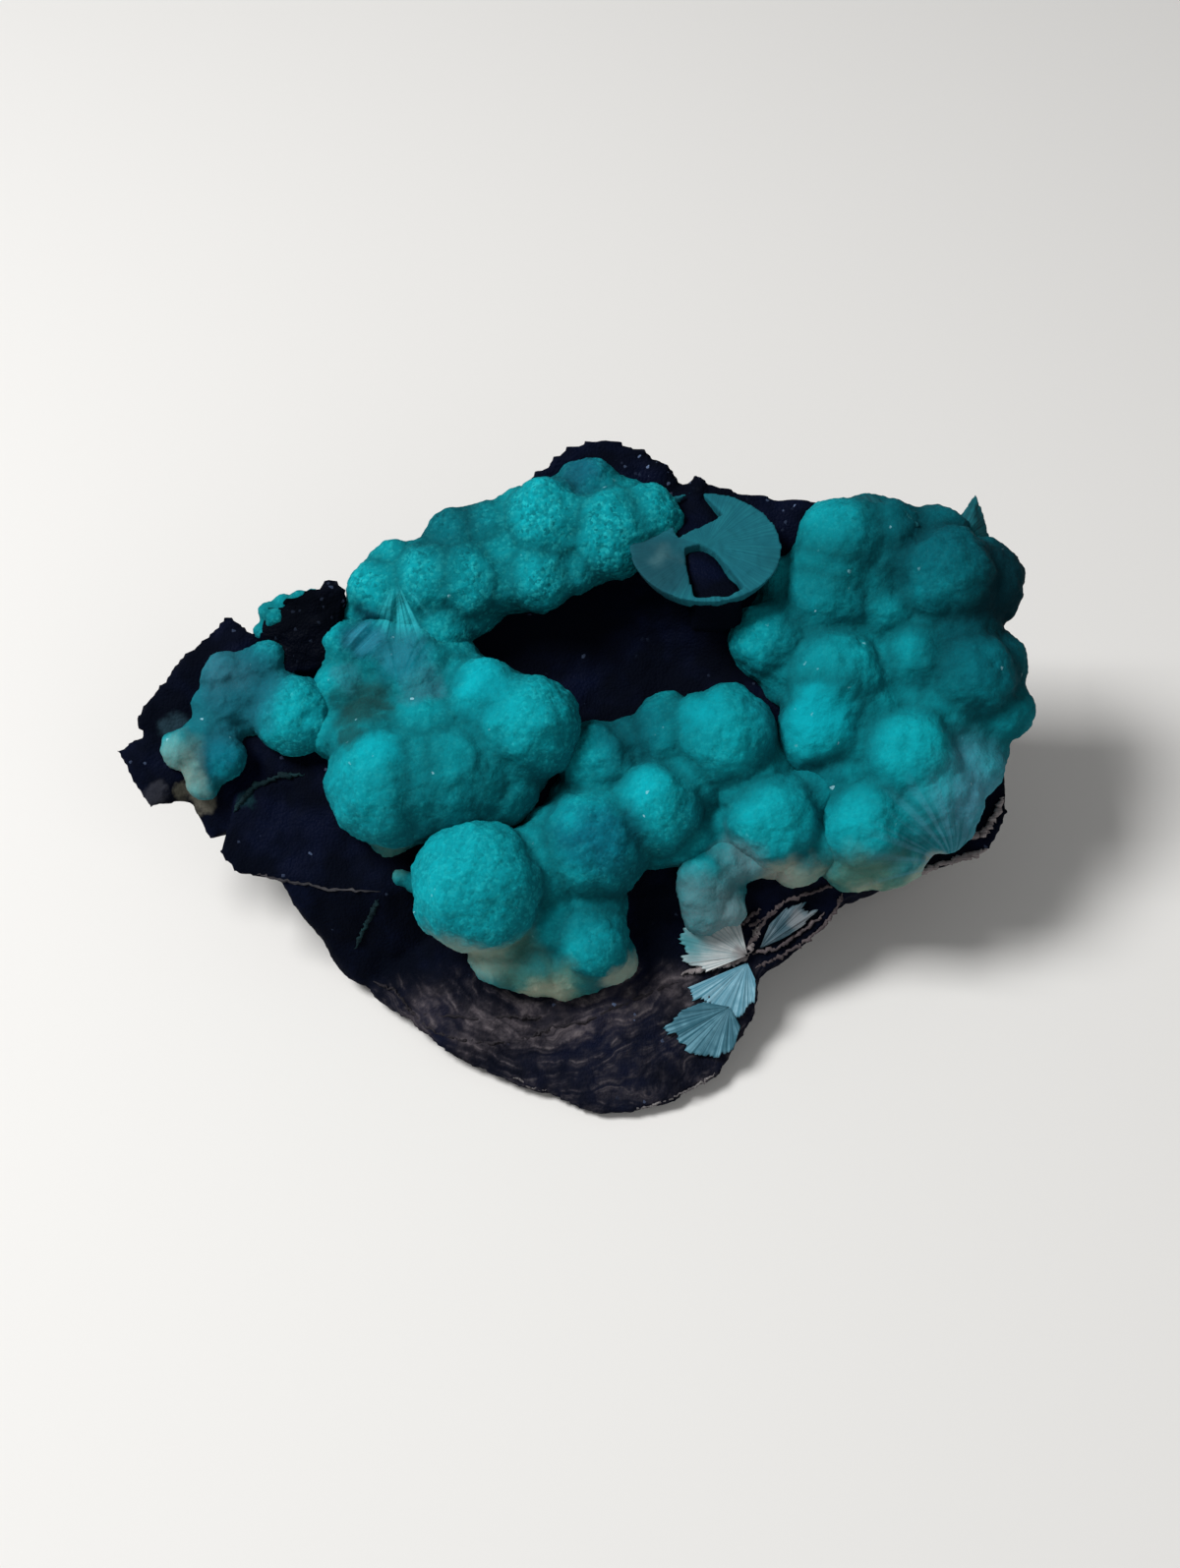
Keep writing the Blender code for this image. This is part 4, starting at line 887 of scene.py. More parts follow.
def stone_tree(name):
    """Geometry nodes that break a skin into layers, chips and grit."""
    tree = bpy.data.node_groups.new(name, "GeometryNodeTree")
    tree.interface.new_socket("Geometry", in_out="INPUT", socket_type="NodeSocketGeometry")
    for label in ("Layer Thickness", "Layer Depth", "Chip Size", "Chip Depth", "Grit Depth"):
        tree.interface.new_socket(label, in_out="INPUT", socket_type="NodeSocketFloat")
    tree.interface.new_socket("Geometry", in_out="OUTPUT", socket_type="NodeSocketGeometry")
    bench = Bench(tree)
    given = bench.node("NodeGroupInput").outputs
    place = bench.node("GeometryNodeInputPosition").outputs[0]
    normal = bench.node("GeometryNodeInputNormal").outputs[0]
    layer = layer_value(bench, place, given["Layer Thickness"])
    layer_depth = bench.math("MULTIPLY", given["Layer Depth"], bench.ramp(front_share(bench, place), 0.0, 1.0, 0.12, 1.0))
    layer_push = bench.math("MULTIPLY", bench.math("SUBTRACT", bench.ramp(layer, 0.42, 0.58), 0.5), layer_depth)
    chips_at = bench.scaled(place, bench.math("DIVIDE", 1.0, given["Chip Size"]))
    bend = bench.node("ShaderNodeTexNoise", {"Vector": chips_at, "Scale": 1.3, "Detail": 2.0}).outputs["Color"]
    chips_bent = bench.node("ShaderNodeVectorMath", {0: chips_at, 1: bend}, operation="ADD").outputs[0]
    chips = bench.node("ShaderNodeTexVoronoi", {"Vector": chips_bent, "Scale": 1.0}, feature="F1").outputs["Distance"]
    chip_push = bench.math("MULTIPLY", bench.math("SUBTRACT", 0.5, chips), given["Chip Depth"])
    grit = bench.node("ShaderNodeTexNoise", {"Vector": bench.scaled(place, 1600.0), "Scale": 1.0, "Detail": 4.0})
    grit_push = bench.math("MULTIPLY", bench.math("SUBTRACT", grit.outputs["Fac"], 0.5), given["Grit Depth"])
    away = bench.node(
        "ShaderNodeVectorMath", {0: place, 1: millimetres(ROUGH_AT)}, operation="DISTANCE",
    ).outputs["Value"]
    grit_push = bench.math("MULTIPLY", grit_push, bench.ramp(away, 0.003, 0.005, 3.5, 1.0))
    height = bench.node("ShaderNodeSeparateXYZ", {0: place}).outputs[2]
    pushes = bench.math("ADD", bench.math("ADD", layer_push, chip_push), grit_push)
    push = bench.scaled(normal, bench.math("MULTIPLY", pushes, bench.ramp(height, 0.0, 0.0006)))
    moved = bench.node("GeometryNodeSetPosition", {"Geometry": given["Geometry"], "Offset": push})
    tree.links.new(moved.outputs[0], bench.node("NodeGroupOutput").inputs[0])
    return tree


def run_nodes(obj, tree, values):
    """Runs geometry nodes on the object with the given inputs, and keeps the result."""
    modifier = obj.modifiers.new(tree.name, "NODES")
    modifier.node_group = tree
    for item in tree.interface.items_tree:
        if item.name in values:
            modifier[item.identifier] = values[item.name]
    settle(obj)


def relief_tree(name):
    """Geometry nodes that push a skin out by two sizes of rounded cells and one of soft noise."""
    tree = bpy.data.node_groups.new(name, "GeometryNodeTree")
    tree.interface.new_socket("Geometry", in_out="INPUT", socket_type="NodeSocketGeometry")
    for label in ("Lump Size", "Lump Depth", "Grain Size", "Grain Depth"):
        tree.interface.new_socket(label, in_out="INPUT", socket_type="NodeSocketFloat")
    tree.interface.new_socket("Geometry", in_out="OUTPUT", socket_type="NodeSocketGeometry")
    bench = Bench(tree)
    given = bench.node("NodeGroupInput").outputs
    place = bench.node("GeometryNodeInputPosition").outputs[0]
    normal = bench.node("GeometryNodeInputNormal").outputs[0]
    lumps_at = bench.scaled(place, bench.math("DIVIDE", 1.0, given["Lump Size"]))
    lumps = bench.node(
        "ShaderNodeTexNoise", {"Vector": lumps_at, "Scale": 1.0, "Detail": 4.0, "Roughness": 0.55},
    ).outputs["Fac"]
    lump_push = bench.math("MULTIPLY", bench.math("SUBTRACT", lumps, 0.5), given["Lump Depth"])
    grains_at = bench.scaled(place, bench.math("DIVIDE", 1.0, given["Grain Size"]))
    grains = bench.node("ShaderNodeTexVoronoi", {"Vector": grains_at, "Scale": 1.0}, feature="F1").outputs["Distance"]
    grain_push = bench.math("MULTIPLY", bench.math("SUBTRACT", 0.5, grains), given["Grain Depth"])
    push = bench.scaled(normal, bench.math("ADD", lump_push, grain_push))
    moved = bench.node("GeometryNodeSetPosition", {"Geometry": given["Geometry"], "Offset": push})
    # Keeps the grain cells' distance as tip; the crystal material darkens the hollows between grain tips with it, as
    # painted shade
    keep = bench.node(
        "GeometryNodeStoreNamedAttribute", {"Geometry": moved.outputs[0], "Name": "tip", "Value": grains},
        data_type="FLOAT", domain="POINT",
    )
    out = bench.node("NodeGroupOutput").inputs
    tree.links.new(keep.outputs[0], out[0])
    return tree


def add_relief(obj, lump_size, lump_depth, grain_size, grain_depth):
    """Pushes the skin of an object out by lumps and grains."""
    tree = bpy.data.node_groups.get("relief") or relief_tree("relief")
    modifier = obj.modifiers.new("relief", "NODES")
    modifier.node_group = tree
    values = {
        "Lump Size": lump_size, "Lump Depth": lump_depth, "Grain Size": grain_size, "Grain Depth": grain_depth,
    }
    for item in tree.interface.items_tree:
        if item.name in values:
            modifier[item.identifier] = values[item.name]
    settle(obj)


def grow_balls(name, seats, voxel, broken=(), flatness=1.0, rounds=10):
    """One skin over all balls of a stretch of crust. Its broken balls lose all that lies over their faces."""
    builder = bmesh.new()
    turn = Matrix.Rotation(math.radians(BED_SLOPE), 4, "X") @ Matrix.Diagonal((1.0, 1.0, flatness, 1.0))
    for centre, radius in seats:
        place = Matrix.Translation(centre) @ turn
        bmesh.ops.create_icosphere(builder, subdivisions=4, radius=radius, matrix=place)
    for row, point, way in broken:
        part = plain_ball("broken_ball", *seat(row))
        cut_below(part, millimetres(point), -Vector(way).normalized())
        builder.from_mesh(part.data)
        bpy.data.objects.remove(part)
    piece = object_from(builder, name)
    one_skin(piece, voxel, rounds)
    return piece


def hull(name, corners):
    """A block with flat sides: the convex hull of its corners, given in metres."""
    builder = bmesh.new()
    for corner in corners:
        builder.verts.new(corner)
    made = bmesh.ops.convex_hull(builder, input=builder.verts)
    inner = [v for v in made["geom_interior"] if isinstance(v, bmesh.types.BMVert)]
    bmesh.ops.delete(builder, geom=inner, context="VERTS")
    bmesh.ops.recalc_face_normals(builder, faces=builder.faces)
    return object_from(builder, name)


def combine(obj, other, operation):
    """Joins another shape to the object or takes it out of it, and removes that shape."""
    modifier = obj.modifiers.new("combine", "BOOLEAN")
    modifier.operation = operation
    modifier.solver = "EXACT"
    modifier.object = other
    settle(obj)
    bpy.data.objects.remove(other)


def notch_corners(outline, low, high):
    """Corners of a missing piece of the split ball, between two heights over its centre."""
    middle = Vector(SPLIT_AT)
    return [millimetres(middle + Vector((x, y, z))) for x, y in outline for z in (low, high)]


def make_stone():
    """The stone's core and blocks as one body with flat sides, before it is broken and worn."""
    corners = [(x, y, bed_height(y)) for x, y in CORE_TOP] + CORE_SIDE + [(x, y, 0.0) for x, y in CORE_FOOT]
    stone = hull("black_rock", [millimetres(c) for c in corners])
    for name, block in ROCK_BLOCKS.items():
        combine(stone, hull(name, [millimetres(c) for c in block]), "UNION")
    hollow = plain_ball("hollow", Vector(), 1.0)
    place = Matrix.Translation(millimetres((*HOLLOW_AT, bed_height(HOLLOW_AT[1]))))
    turn = Matrix.Rotation(math.radians(BED_SLOPE), 4, "X")
    hollow.data.transform(place @ turn @ Matrix.Diagonal((*(millimetres(HOLLOW_SIZE)), 1.0)))
    combine(stone, hollow, "DIFFERENCE")
    for outline in SPLIT_NOTCHES:
        combine(stone, hull("notch_stone", notch_corners(outline, -SPLIT_RADIUS, NOTCH_STONE_TOP)), "UNION")
    return stone


def plain_ball(name, centre, radius):
    builder = bmesh.new()
    bmesh.ops.create_icosphere(builder, subdivisions=4, radius=radius, matrix=Matrix.Translation(centre))
    return object_from(builder, name)


def fibre_tree(name):
    """Geometry nodes that push a skin out by fibres that run out from a centre."""
    tree = bpy.data.node_groups.new(name, "GeometryNodeTree")
    tree.interface.new_socket("Geometry", in_out="INPUT", socket_type="NodeSocketGeometry")
    tree.interface.new_socket("Centre", in_out="INPUT", socket_type="NodeSocketVector")
    for label in ("Fibre Count", "Fibre Depth", "Break Depth"):
        tree.interface.new_socket(label, in_out="INPUT", socket_type="NodeSocketFloat")
    tree.interface.new_socket("Geometry", in_out="OUTPUT", socket_type="NodeSocketGeometry")
    bench = Bench(tree)
    given = bench.node("NodeGroupInput").outputs
    place = bench.node("GeometryNodeInputPosition").outputs[0]
    normal = bench.node("GeometryNodeInputNormal").outputs[0]
    away = bench.node("ShaderNodeVectorMath", {0: place, 1: given["Centre"]}, operation="SUBTRACT").outputs[0]
    out_way = bench.node("ShaderNodeVectorMath", {0: away}, operation="NORMALIZE").outputs[0]
    fibres_at = bench.scaled(out_way, given["Fibre Count"])
    fibres = bench.node("ShaderNodeTexNoise", {"Vector": fibres_at, "Scale": 1.0, "Detail": 3.0}).outputs["Fac"]
    fibre_push = bench.math("MULTIPLY", bench.math("SUBTRACT", fibres, 0.5), given["Fibre Depth"])
    steps_at = bench.scaled(place, 1400.0)
    steps = bench.node("ShaderNodeTexVoronoi", {"Vector": steps_at, "Scale": 1.0}, feature="F1").outputs["Color"]
    step = bench.node("ShaderNodeSeparateXYZ", {0: steps}).outputs[0]
    step_push = bench.math("MULTIPLY", bench.math("SUBTRACT", step, 0.5), given["Break Depth"])
    push = bench.scaled(normal, bench.math("ADD", fibre_push, step_push))
    moved = bench.node("GeometryNodeSetPosition", {"Geometry": given["Geometry"], "Offset": push})
    out = bench.node("NodeGroupOutput").inputs
    tree.links.new(moved.outputs[0], out[0])
    return tree


def add_fibres(obj, centre, count, depth, break_depth):
    """Pushes the skin of an object out by fibres that run out from the centre, and by small steps."""
    tree = bpy.data.node_groups.get("fibres") or fibre_tree("fibres")
    modifier = obj.modifiers.new("fibres", "NODES")
    modifier.node_group = tree
    values = {"Centre": centre, "Fibre Count": count, "Fibre Depth": depth, "Break Depth": break_depth}
    for item in tree.interface.items_tree:
        if item.name in values:
            modifier[item.identifier] = values[item.name]
    settle(obj)


def make_flake(name, corners, rib_depth, seed):
    """A flat flake: fine ribs run from its apex, the first corner, to a ragged rim through the others."""
    chance = np.random.default_rng(seed)
    corners = np.array(corners) * MM
    middle = corners.mean(axis=0)
    normal = np.linalg.svd(corners - middle)[2][2]
    normal *= np.sign(normal[2])
    flat = corners - np.outer((corners - middle) @ normal, normal) + normal * FLAKE_LIFT * MM
    apex, rim = flat[0], flat[1:]
    shares = np.linspace(0, len(rim) - 1, FLAKE_RIBS)
    ends = np.array([np.interp(shares, range(len(rim)), rim[:, axis]) for axis in range(3)]).T
    soft = np.array([0.25, 0.5, 0.25])
    widths = chance.integers(*PLATE_RIBS, FLAKE_RIBS)
    plates = np.repeat(chance.uniform(-1.0, 1.0, FLAKE_RIBS), widths)[:FLAKE_RIBS]
    ragged = 0.95 + 0.07 * np.roll(plates, 3) + chance.uniform(-0.03, 0.03, FLAKE_RIBS)
    ends = apex + (ends - apex) * ragged[:, None]
    ribs = (np.convolve(chance.uniform(-1.0, 1.0, FLAKE_RIBS + 2), soft, "valid") + plates) * rib_depth
    builder = bmesh.new()
    tops, feet = [], []
    for end, rib in zip(ends, ribs):
        top_row, foot_row = [], []
        for step in range(FLAKE_STEPS + 1):
            share = 0.03 + 0.97 * step / FLAKE_STEPS
            place = apex + (end - apex) * share
            top = place + normal * (rib * min(1.0, 2.0 * share) + chance.uniform(-0.1, 0.1) * rib_depth)
            top_row.append(builder.verts.new(top))
            foot_row.append(builder.verts.new(place - normal * FLAKE_THICKNESS * MM))
        tops.append(top_row)
        feet.append(foot_row)
    close_sheet(builder, tops, feet)
    return object_from(builder, name)


def close_sheet(builder, tops, feet):
    """Faces over two grids of points and along their four sides."""
    rows, steps = len(tops), len(tops[0])
    for i in range(rows - 1):
        for j in range(steps - 1):
            builder.faces.new((tops[i][j], tops[i][j + 1], tops[i + 1][j + 1], tops[i + 1][j]))
            builder.faces.new((feet[i][j], feet[i + 1][j], feet[i + 1][j + 1], feet[i][j + 1]))
    around = [(i, 0) for i in range(rows)] + [(rows - 1, j) for j in range(1, steps)]
    around += [(i, steps - 1) for i in range(rows - 2, -1, -1)] + [(0, j) for j in range(steps - 2, 0, -1)]
    for (i, j), (k, m) in zip(around, around[1:] + around[:1]):
        builder.faces.new((tops[i][j], tops[k][m], feet[k][m], feet[i][j]))
    bmesh.ops.recalc_face_normals(builder, faces=builder.faces)


def make_ledges(name, lines, width, seed):
    """Thin ribs along lines of points, with ends that run out and sides that wander."""
    chance = np.random.default_rng(seed)
    builder = bmesh.new()
    for line in lines:
        corners = np.array(line) * MM
        count = 12 * (len(corners) - 1) + 1
        shares = np.linspace(0, len(corners) - 1, count)
        places = np.array([np.interp(shares, range(len(corners)), corners[:, axis]) for axis in range(3)]).T
        places += chance.normal(0.0, 0.05 * MM, places.shape)
        rings = []
        for i, place in enumerate(places):
            ahead = Vector(places[min(i + 1, count - 1)] - places[max(i - 1, 0)]).normalized()
            side = ahead.cross(Vector((0.0, 0.0, 1.0))).normalized()
            up = side.cross(ahead)
            reach = width * MM * chance.uniform(0.5, 1.3) * min(1.0, 0.15 + min(i, count - 1 - i) / 5)
            ring = []
            for corner in range(LEDGE_SIDES):
                angle = 2.0 * math.pi * corner / LEDGE_SIDES
                way = side * math.cos(angle) + up * math.sin(angle)
                ring.append(builder.verts.new(Vector(place) + way * reach * chance.uniform(0.8, 1.2)))
            rings.append(ring)
        for low, high in zip(rings, rings[1:]):
            for i in range(LEDGE_SIDES):
                j = (i + 1) % LEDGE_SIDES
                builder.faces.new((low[i], low[j], high[j], high[i]))
        builder.faces.new(rings[0][::-1])
        builder.faces.new(rings[-1])
    bmesh.ops.recalc_face_normals(builder, faces=builder.faces)
    return object_from(builder, name)


LEDGE_SIDES = 8


class WavelliteCrystalSettings(bpy.types.PropertyGroup):
    """Sizes and colours of the green crystals."""

    voxel: FloatProperty(
        name="Fineness", description="Distance between the points of the crystal skin",
        default=0.00016, subtype="DISTANCE", unit="LENGTH", precision=5)
    grain_size: FloatProperty(
        name="Grain size", description="Width of one crystal tip on the balls",
        default=0.00030, subtype="DISTANCE", unit="LENGTH", precision=5)
    grain_depth: FloatProperty(
        name="Grain depth", description="How far the crystal tips stand out",
        default=0.00007, subtype="DISTANCE", unit="LENGTH", precision=5)
    lump_size: FloatProperty(
        name="Lump size", description="Width of the soft lumps on a ball",
        default=0.0022, subtype="DISTANCE", unit="LENGTH", precision=5)
    lump_depth: FloatProperty(
        name="Lump depth", description="How far the lumps stand out",
        default=0.0013, subtype="DISTANCE", unit="LENGTH", precision=5)
    underside: FloatProperty(
        name="Underside", description="How far the crust goes into the stone under the bed",
        default=0.0010, subtype="DISTANCE", unit="LENGTH", precision=5)
    break_voxel: FloatProperty(
        name="Break fineness", description="Distance between the points of a broken piece's skin",
        default=0.00012, subtype="DISTANCE", unit="LENGTH", precision=5)
    fibre_count: FloatProperty(
        name="Fibres", description="How closely the fibres of a broken ball stand", default=20.0)
    fibre_depth: FloatProperty(
        name="Fibre depth", description="How far the fibres of a broken ball stand out",
        default=0.00007, subtype="DISTANCE", unit="LENGTH", precision=5)
    break_depth: FloatProperty(
        name="Break depth", description="Height of the small steps on a broken face",
        default=0.00008, subtype="DISTANCE", unit="LENGTH", precision=5)
    colour_broken: FloatVectorProperty(
        name="Broken", description="Colour of the inside of a ball",
        default=(0.006, 0.098, 0.132, 1.0), size=4, subtype="COLOR")
    colour_pale: FloatVectorProperty(
        name="Pale", description="Colour of the pale fibres",
        default=(0.010, 0.138, 0.172, 1.0), size=4, subtype="COLOR")
    # Painted light: the colour of the balls on the side that faces the painted light
    colour_lit_crown: FloatVectorProperty(
        name="Light green", description="Colour of the balls where they are brightest",
        default=(0.002, 0.310, 0.360, 1.0), size=4, subtype="COLOR")
    # Painted shade: the colour of the balls on the side away from the painted light, and in their random darker parts
    colour_shaded_deep: FloatVectorProperty(
        name="Deep green", description="Colour of the balls where they are denser",
        default=(0.001, 0.140, 0.172, 1.0), size=4, subtype="COLOR")
    colour_tip: FloatVectorProperty(
        name="Tips", description="Colour of the crystal tips that catch the light",
        default=(0.020, 0.440, 0.470, 1.0), size=4, subtype="COLOR")
    # Painted shade: the colour in the creases between two balls
    colour_crease_shade: FloatVectorProperty(
        name="Creases", description="Colour in the creases between two balls",
        default=(0.001, 0.040, 0.050, 1.0), size=4, subtype="COLOR")


class WavelliteRockSettings(bpy.types.PropertyGroup):
    """Sizes and colours of the black stone."""

    voxel: FloatProperty(
        name="Fineness", description="Distance between the points of the stone's skin",
        default=0.00028, subtype="DISTANCE", unit="LENGTH", precision=5)
    layer_thickness: FloatProperty(
        name="Layer thickness", description="Thickness of the stone's thin layers",
        default=0.0008, subtype="DISTANCE", unit="LENGTH", precision=5)
    layer_depth: FloatProperty(
        name="Layer depth", description="How far one layer stands out over the next",
        default=0.00010, subtype="DISTANCE", unit="LENGTH", precision=5)
    chip_size: FloatProperty(
        name="Chip size", description="Width of the places where a chip broke off",
        default=0.0035, subtype="DISTANCE", unit="LENGTH", precision=5)
    chip_depth: FloatProperty(
        name="Chip depth", description="Depth of the places where a chip broke off",
        default=0.0005, subtype="DISTANCE", unit="LENGTH", precision=5)
    grit_depth: FloatProperty(
        name="Grit depth", description="How rough the broken faces are",
        default=0.00022, subtype="DISTANCE", unit="LENGTH", precision=5)
    colour_black: FloatVectorProperty(
        name="Black", description="Main colour of the stone",
        default=(0.0014, 0.0024, 0.0062, 1.0), size=4, subtype="COLOR")
    colour_blue: FloatVectorProperty(
        name="Blue black", description="Colour of the stone's smoother faces",
        default=(0.0022, 0.0042, 0.0155, 1.0), size=4, subtype="COLOR")
    colour_brown: FloatVectorProperty(
        name="Brown", description="Colour of the layered front of the stone",
        default=(0.0150, 0.0150, 0.0225, 1.0), size=4, subtype="COLOR")
    colour_streak: FloatVectorProperty(
        name="Streaks", description="Colour of the light streaks along the layers",
        default=(0.115, 0.100, 0.108, 1.0), size=4, subtype="COLOR")
    # Painted sheen on the stone's sharp edges
    colour_edge_sheen: FloatVectorProperty(
        name="Edges", description="Colour of the stone's sharp edges",
        default=(0.030, 0.034, 0.050, 1.0), size=4, subtype="COLOR")
    # Painted glints: the colour of the small bright specks
    colour_speck_glint: FloatVectorProperty(
        name="Specks", description="Colour of the small bright specks",
        default=(0.10, 0.14, 0.24, 1.0), size=4, subtype="COLOR")


class WavelliteStageSettings(bpy.types.PropertyGroup):
    """Light and floor."""

    floor_colour: FloatVectorProperty(
        name="Floor", description="Colour of the plain floor",
        default=(0.75, 0.74, 0.72, 1.0), size=4, subtype="COLOR")
    key_power: FloatProperty(
        name="Key light", description="Power of the soft light at the upper left in watts", default=1.25)
    fill_power: FloatProperty(
        name="Fill light", description="Power of the soft light at the right in watts", default=0.20)
    room_light: FloatProperty(
        name="Room light", description="Strength of the even light from all sides", default=0.18)


class WAVELLITE_OT_crust(bpy.types.Operator):
    """Grow the crust of green balls in six stretches"""

    bl_idname = "wavellite.crust"
    bl_label = "Crystal crust"

    def execute(self, context):
        settings = context.scene.wavellite_crystals
        material = crystal_material(settings)
        for name, (rows, broken, flatness, filling, rounds, grain) in CRUST_PIECES.items():
            seats = with_fillers(rows, filling)
            piece = grow_balls(name, seats, settings.voxel, broken, flatness, rounds)
            cut_at = millimetres((0.0, *BED_FRONT)) - bed_normal() * settings.underside
            cut_below(piece, cut_at, bed_normal())
            mark_crease_shade(piece.data, seats)
            mark_painted_crown_light(piece.data)
            grain_depth = settings.grain_depth * grain
            add_relief(piece, settings.lump_size, settings.lump_depth, settings.grain_size, grain_depth)
            dress(piece, material, ["wavellite_crust"])
        return {"FINISHED"}


class WAVELLITE_OT_split_ball(bpy.types.Operator):
    """Break open the ball that shows its fibres inside"""

    bl_idname = "wavellite.split_ball"
    bl_label = "Split ball"

    def execute(self, context):
        settings = context.scene.wavellite_crystals
        up = Vector((0.0, 0.0, 1.0))
        middle = millimetres(SPLIT_AT)
        split = plain_ball("split_ball", middle, SPLIT_RADIUS * MM)
        cut_below(split, middle + up * SPLIT_FACE * MM, -up)
        for outline in SPLIT_NOTCHES:
            combine(split, hull("notch", notch_corners(outline, -2 * SPLIT_RADIUS, SPLIT_RADIUS)), "DIFFERENCE")
        one_skin(split, settings.break_voxel, 3)
        centre = middle + up * SPLIT_FACE * MM
        add_fibres(split, centre, settings.fibre_count, settings.fibre_depth, settings.break_depth)
        colours = (tuple(settings.colour_broken), tuple(settings.colour_pale))
        material = fibre_material("split_ball", centre, colours, 22.0, 0.9, SPLIT_PATCHES, up)
        dress(split, material, ["wavellite_crust"])
        return {"FINISHED"}


class WAVELLITE_OT_back_tip(bpy.types.Operator):
    """Break off the tip that stands at the back right"""

    bl_idname = "wavellite.back_tip"
    bl_label = "Back tip"

    def execute(self, context):
        settings = context.scene.wavellite_crystals
        for name, corners in BACK_TIPS.items():
            tip = hull(name, [millimetres(corner) for corner in corners])
            one_skin(tip, settings.break_voxel, 5)
            root = millimetres(corners[4])
            add_fibres(tip, root, settings.fibre_count, settings.fibre_depth, settings.break_depth)
            colours = ((0.003, 0.050, 0.064, 1.0), (0.008, 0.130, 0.155, 1.0))
            dress(tip, fibre_material(name, root, colours, 16.0, 0.8), ["wavellite_crust"])
        return {"FINISHED"}


class WAVELLITE_OT_flakes(bpy.types.Operator):
    """Lay the flat flakes of pale crystals on the stone"""

    bl_idname = "wavellite.flakes"
    bl_label = "Crystal flakes"

    def execute(self, context):
        for seed, (name, (node, dark, light, ribs, corners)) in enumerate(FLAKES.items()):
            flake = make_flake(name, corners, ribs * MM, seed)
            colours = ((*dark, 1.0), (*light, 1.0))
            material = fibre_material(name, millimetres(corners[0]), colours, 20.0, 0.5, FLAKE_PATCHES)
            dress(flake, material, [node])
        return {"FINISHED"}


class WAVELLITE_OT_rim_crust(bpy.types.Operator):
    """Grow the small separate patch of crystals behind the dark block"""

    bl_idname = "wavellite.rim_crust"
    bl_label = "Rim crust"

    def execute(self, context):
        settings = context.scene.wavellite_crystals
        seats = [seat(row) for row in RIM_BALLS]
        patch = grow_balls("rim_crust_patch", seats, settings.break_voxel)
        mark_crease_shade(patch.data, seats)
        mark_painted_crown_light(patch.data)
        add_relief(patch, settings.lump_size, settings.lump_depth / 2, settings.grain_size, settings.grain_depth)
        dress(patch, bpy.data.materials["crystal_green"], ["rim_crust"])
        return {"FINISHED"}


class WAVELLITE_OT_ledges(bpy.types.Operator):
    """Draw the thin ribs and veins along the stone"""

    bl_idname = "wavellite.ledges"
    bl_label = "Ledges"

    def execute(self, context):
        for seed, (name, (width, dark, light, lines)) in enumerate(LEDGES.items()):
            ledge = make_ledges(name, lines, width, seed)
            colours = ((*dark, 1.0), (*light, 1.0))
            material = fibre_material(name, Vector(), colours, 900.0, 0.8)
            dress(ledge, material, ["matrix"])
        return {"FINISHED"}


class WAVELLITE_OT_rock(bpy.types.Operator):
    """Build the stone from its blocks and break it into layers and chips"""

    bl_idname = "wavellite.rock"
    bl_label = "Black rock"

    def execute(self, context):
        settings = context.scene.wavellite_rock
        rock = make_stone()
        one_skin(rock, settings.voxel, STONE_WEAR)
        cut_below(rock, Vector(), Vector((0.0, 0.0, 1.0)))
        run_nodes(rock, stone_tree("stone"), {
            "Layer Thickness": settings.layer_thickness, "Layer Depth": settings.layer_depth,
            "Chip Size": settings.chip_size, "Chip Depth": settings.chip_depth, "Grit Depth": settings.grit_depth,
        })
        dress(rock, rock_material(settings), ["matrix"])
        return {"FINISHED"}


class WAVELLITE_OT_stage(bpy.types.Operator):
    """Set up the camera, the soft lights and the plain floor"""

    bl_idname = "wavellite.stage"
    bl_label = "Stage"

    def execute(self, context):
        settings = context.scene.wavellite_stage
        scene = context.scene
        scene.view_settings.view_transform = "Standard"
        add_camera(scene)
        add_floor(settings)
        add_light("key_light", (-190.0, 10.0, 290.0), 120.0, settings.key_power)
        add_light("fill_light", (120.0, -220.0, 240.0), 260.0, settings.fill_power)
        world = bpy.data.worlds.new("room")
        world.use_nodes = True
        background = world.node_tree.nodes["Background"]
        background.inputs["Color"].default_value = (1.0, 1.0, 1.0, 1.0)
        background.inputs["Strength"].default_value = settings.room_light
        scene.world = world
        return {"FINISHED"}


def add_camera(scene):
    """The camera of the photograph: its place, and how wide it sees over its long side."""
    down = math.radians(LOOK_DOWN)
    camera = bpy.data.cameras.new("camera")
    camera.sensor_width = FILM_SIZE
    camera.lens = FILM_SIZE * FOCAL_LENGTH / PHOTO_HEIGHT
    camera.clip_start = 1.0 * MM
    holder = bpy.data.objects.new("camera", camera)
    back = Vector((0.0, -math.cos(down), math.sin(down))) * LOOK_FROM * MM
    holder.location = millimetres(LOOK_AT) + back
    holder.rotation_euler = (math.radians(90.0 - LOOK_DOWN), 0.0, 0.0)
    scene.collection.objects.link(holder)
    scene.camera = holder


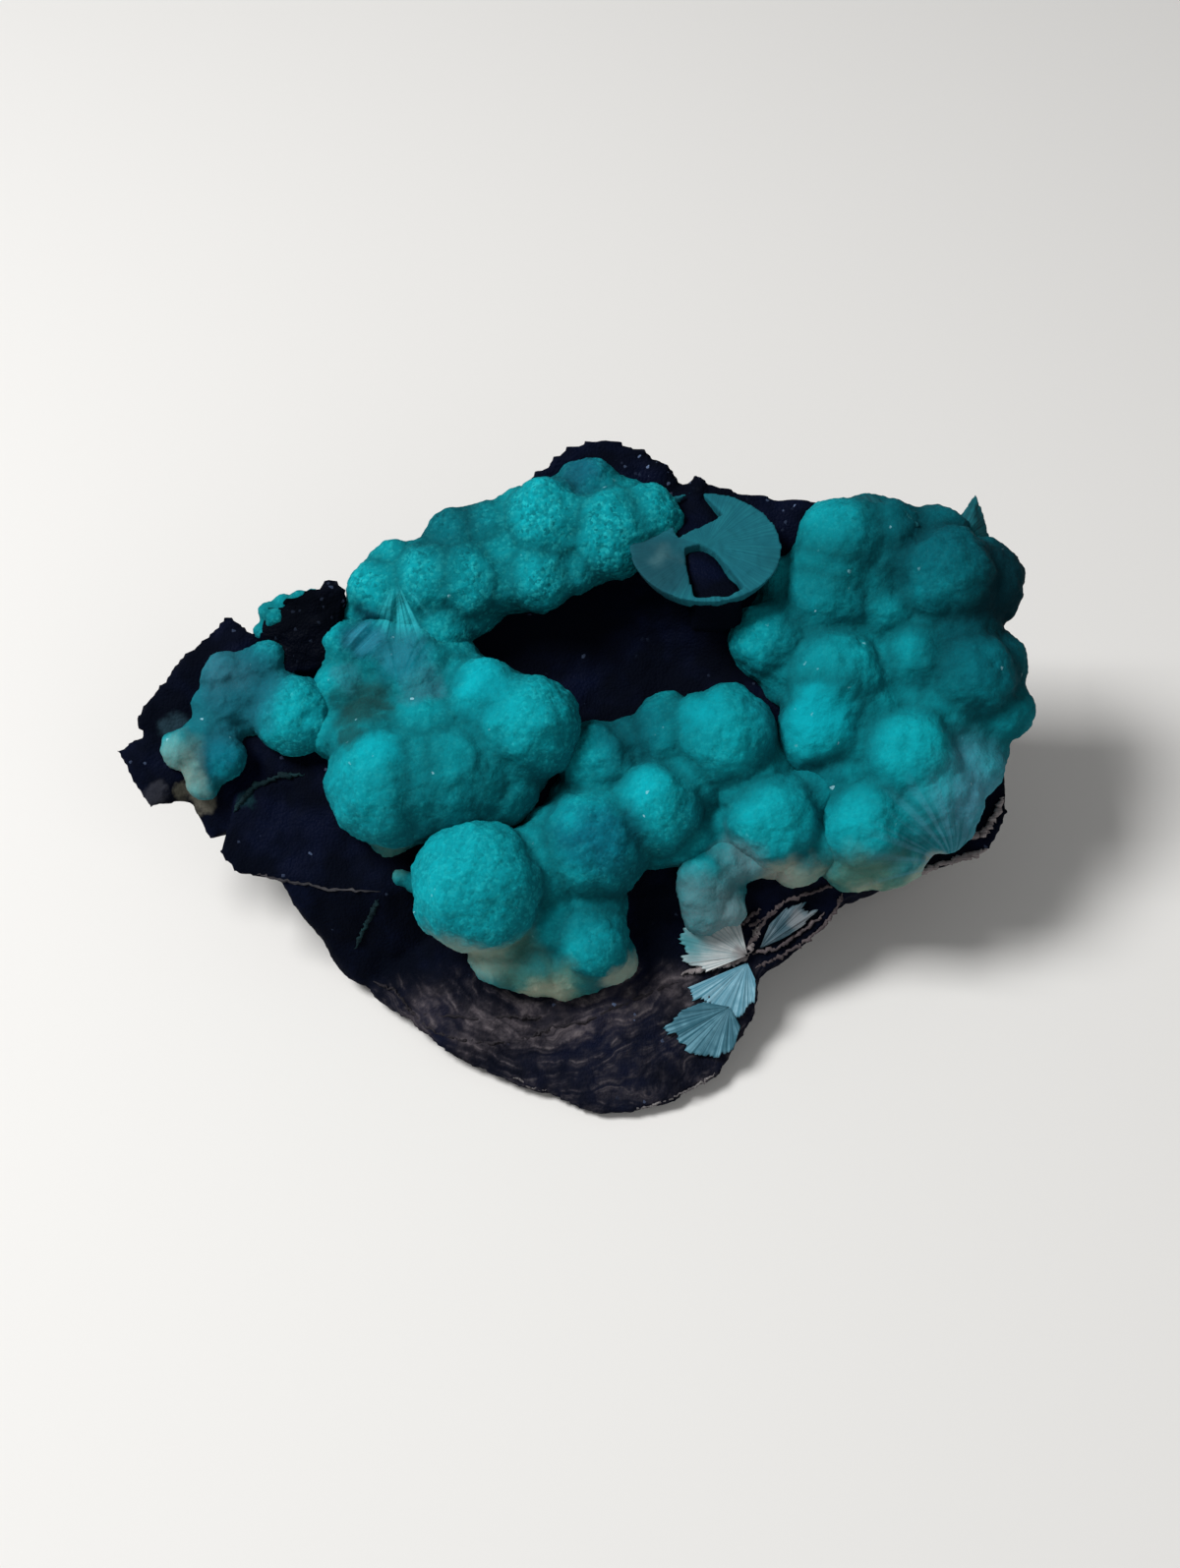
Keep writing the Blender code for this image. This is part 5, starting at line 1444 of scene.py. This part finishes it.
def add_light(name, place, size, power):
    """A soft square light that looks at the specimen. Place and size are in millimetres."""
    light = bpy.data.lights.new(name, "AREA")
    light.shape = "SQUARE"
    light.size = size * MM
    light.energy = power
    holder = bpy.data.objects.new(name, light)
    holder.location = millimetres(place)
    aim = millimetres(LOOK_AT) - holder.location
    holder.rotation_euler = aim.to_track_quat("-Z", "Y").to_euler()
    bpy.context.scene.collection.objects.link(holder)


def add_floor(settings):
    """A wide plain floor."""
    builder = bmesh.new()
    bmesh.ops.create_grid(builder, x_segments=1, y_segments=1, size=2.0)
    floor = object_from(builder, "floor")
    material, bench, shader, where = new_material("plain_floor")
    set_shader(shader, Base_Color=tuple(settings.floor_colour), Roughness=0.8)
    floor.data.materials.append(material)


class WAVELLITE_PT_maker(bpy.types.Panel):
    """Lists the pieces of the specimen"""

    bl_label = "Wavellite specimen"
    bl_idname = "WAVELLITE_PT_maker"
    bl_space_type = "VIEW_3D"
    bl_region_type = "UI"
    bl_category = "Wavellite"

    def draw(self, context):
        layout = self.layout
        for group in SETTINGS:
            owner = getattr(context.scene, group)
            for name in owner.__annotations__:
                layout.prop(owner, name)
        for operator in OPERATORS:
            layout.operator(operator.bl_idname)


SETTINGS = {
    "wavellite_crystals": WavelliteCrystalSettings,
    "wavellite_rock": WavelliteRockSettings,
    "wavellite_stage": WavelliteStageSettings,
}
OPERATORS = [
    WAVELLITE_OT_rock, WAVELLITE_OT_crust, WAVELLITE_OT_rim_crust, WAVELLITE_OT_split_ball,
    WAVELLITE_OT_back_tip, WAVELLITE_OT_flakes, WAVELLITE_OT_ledges, WAVELLITE_OT_stage,
]


def register():
    for group in SETTINGS.values():
        bpy.utils.register_class(group)
    for operator in OPERATORS:
        bpy.utils.register_class(operator)
    bpy.utils.register_class(WAVELLITE_PT_maker)
    for name, group in SETTINGS.items():
        setattr(bpy.types.Scene, name, PointerProperty(type=group))


def unregister():
    for name in SETTINGS:
        delattr(bpy.types.Scene, name)
    bpy.utils.unregister_class(WAVELLITE_PT_maker)
    for operator in reversed(OPERATORS):
        bpy.utils.unregister_class(operator)
    for group in reversed(SETTINGS.values()):
        bpy.utils.unregister_class(group)


def main():
    register()
    for operator in OPERATORS:
        name = operator.bl_idname.split(".")[1]
        getattr(bpy.ops.wavellite, name)()


if __name__ == "__main__":
    main()
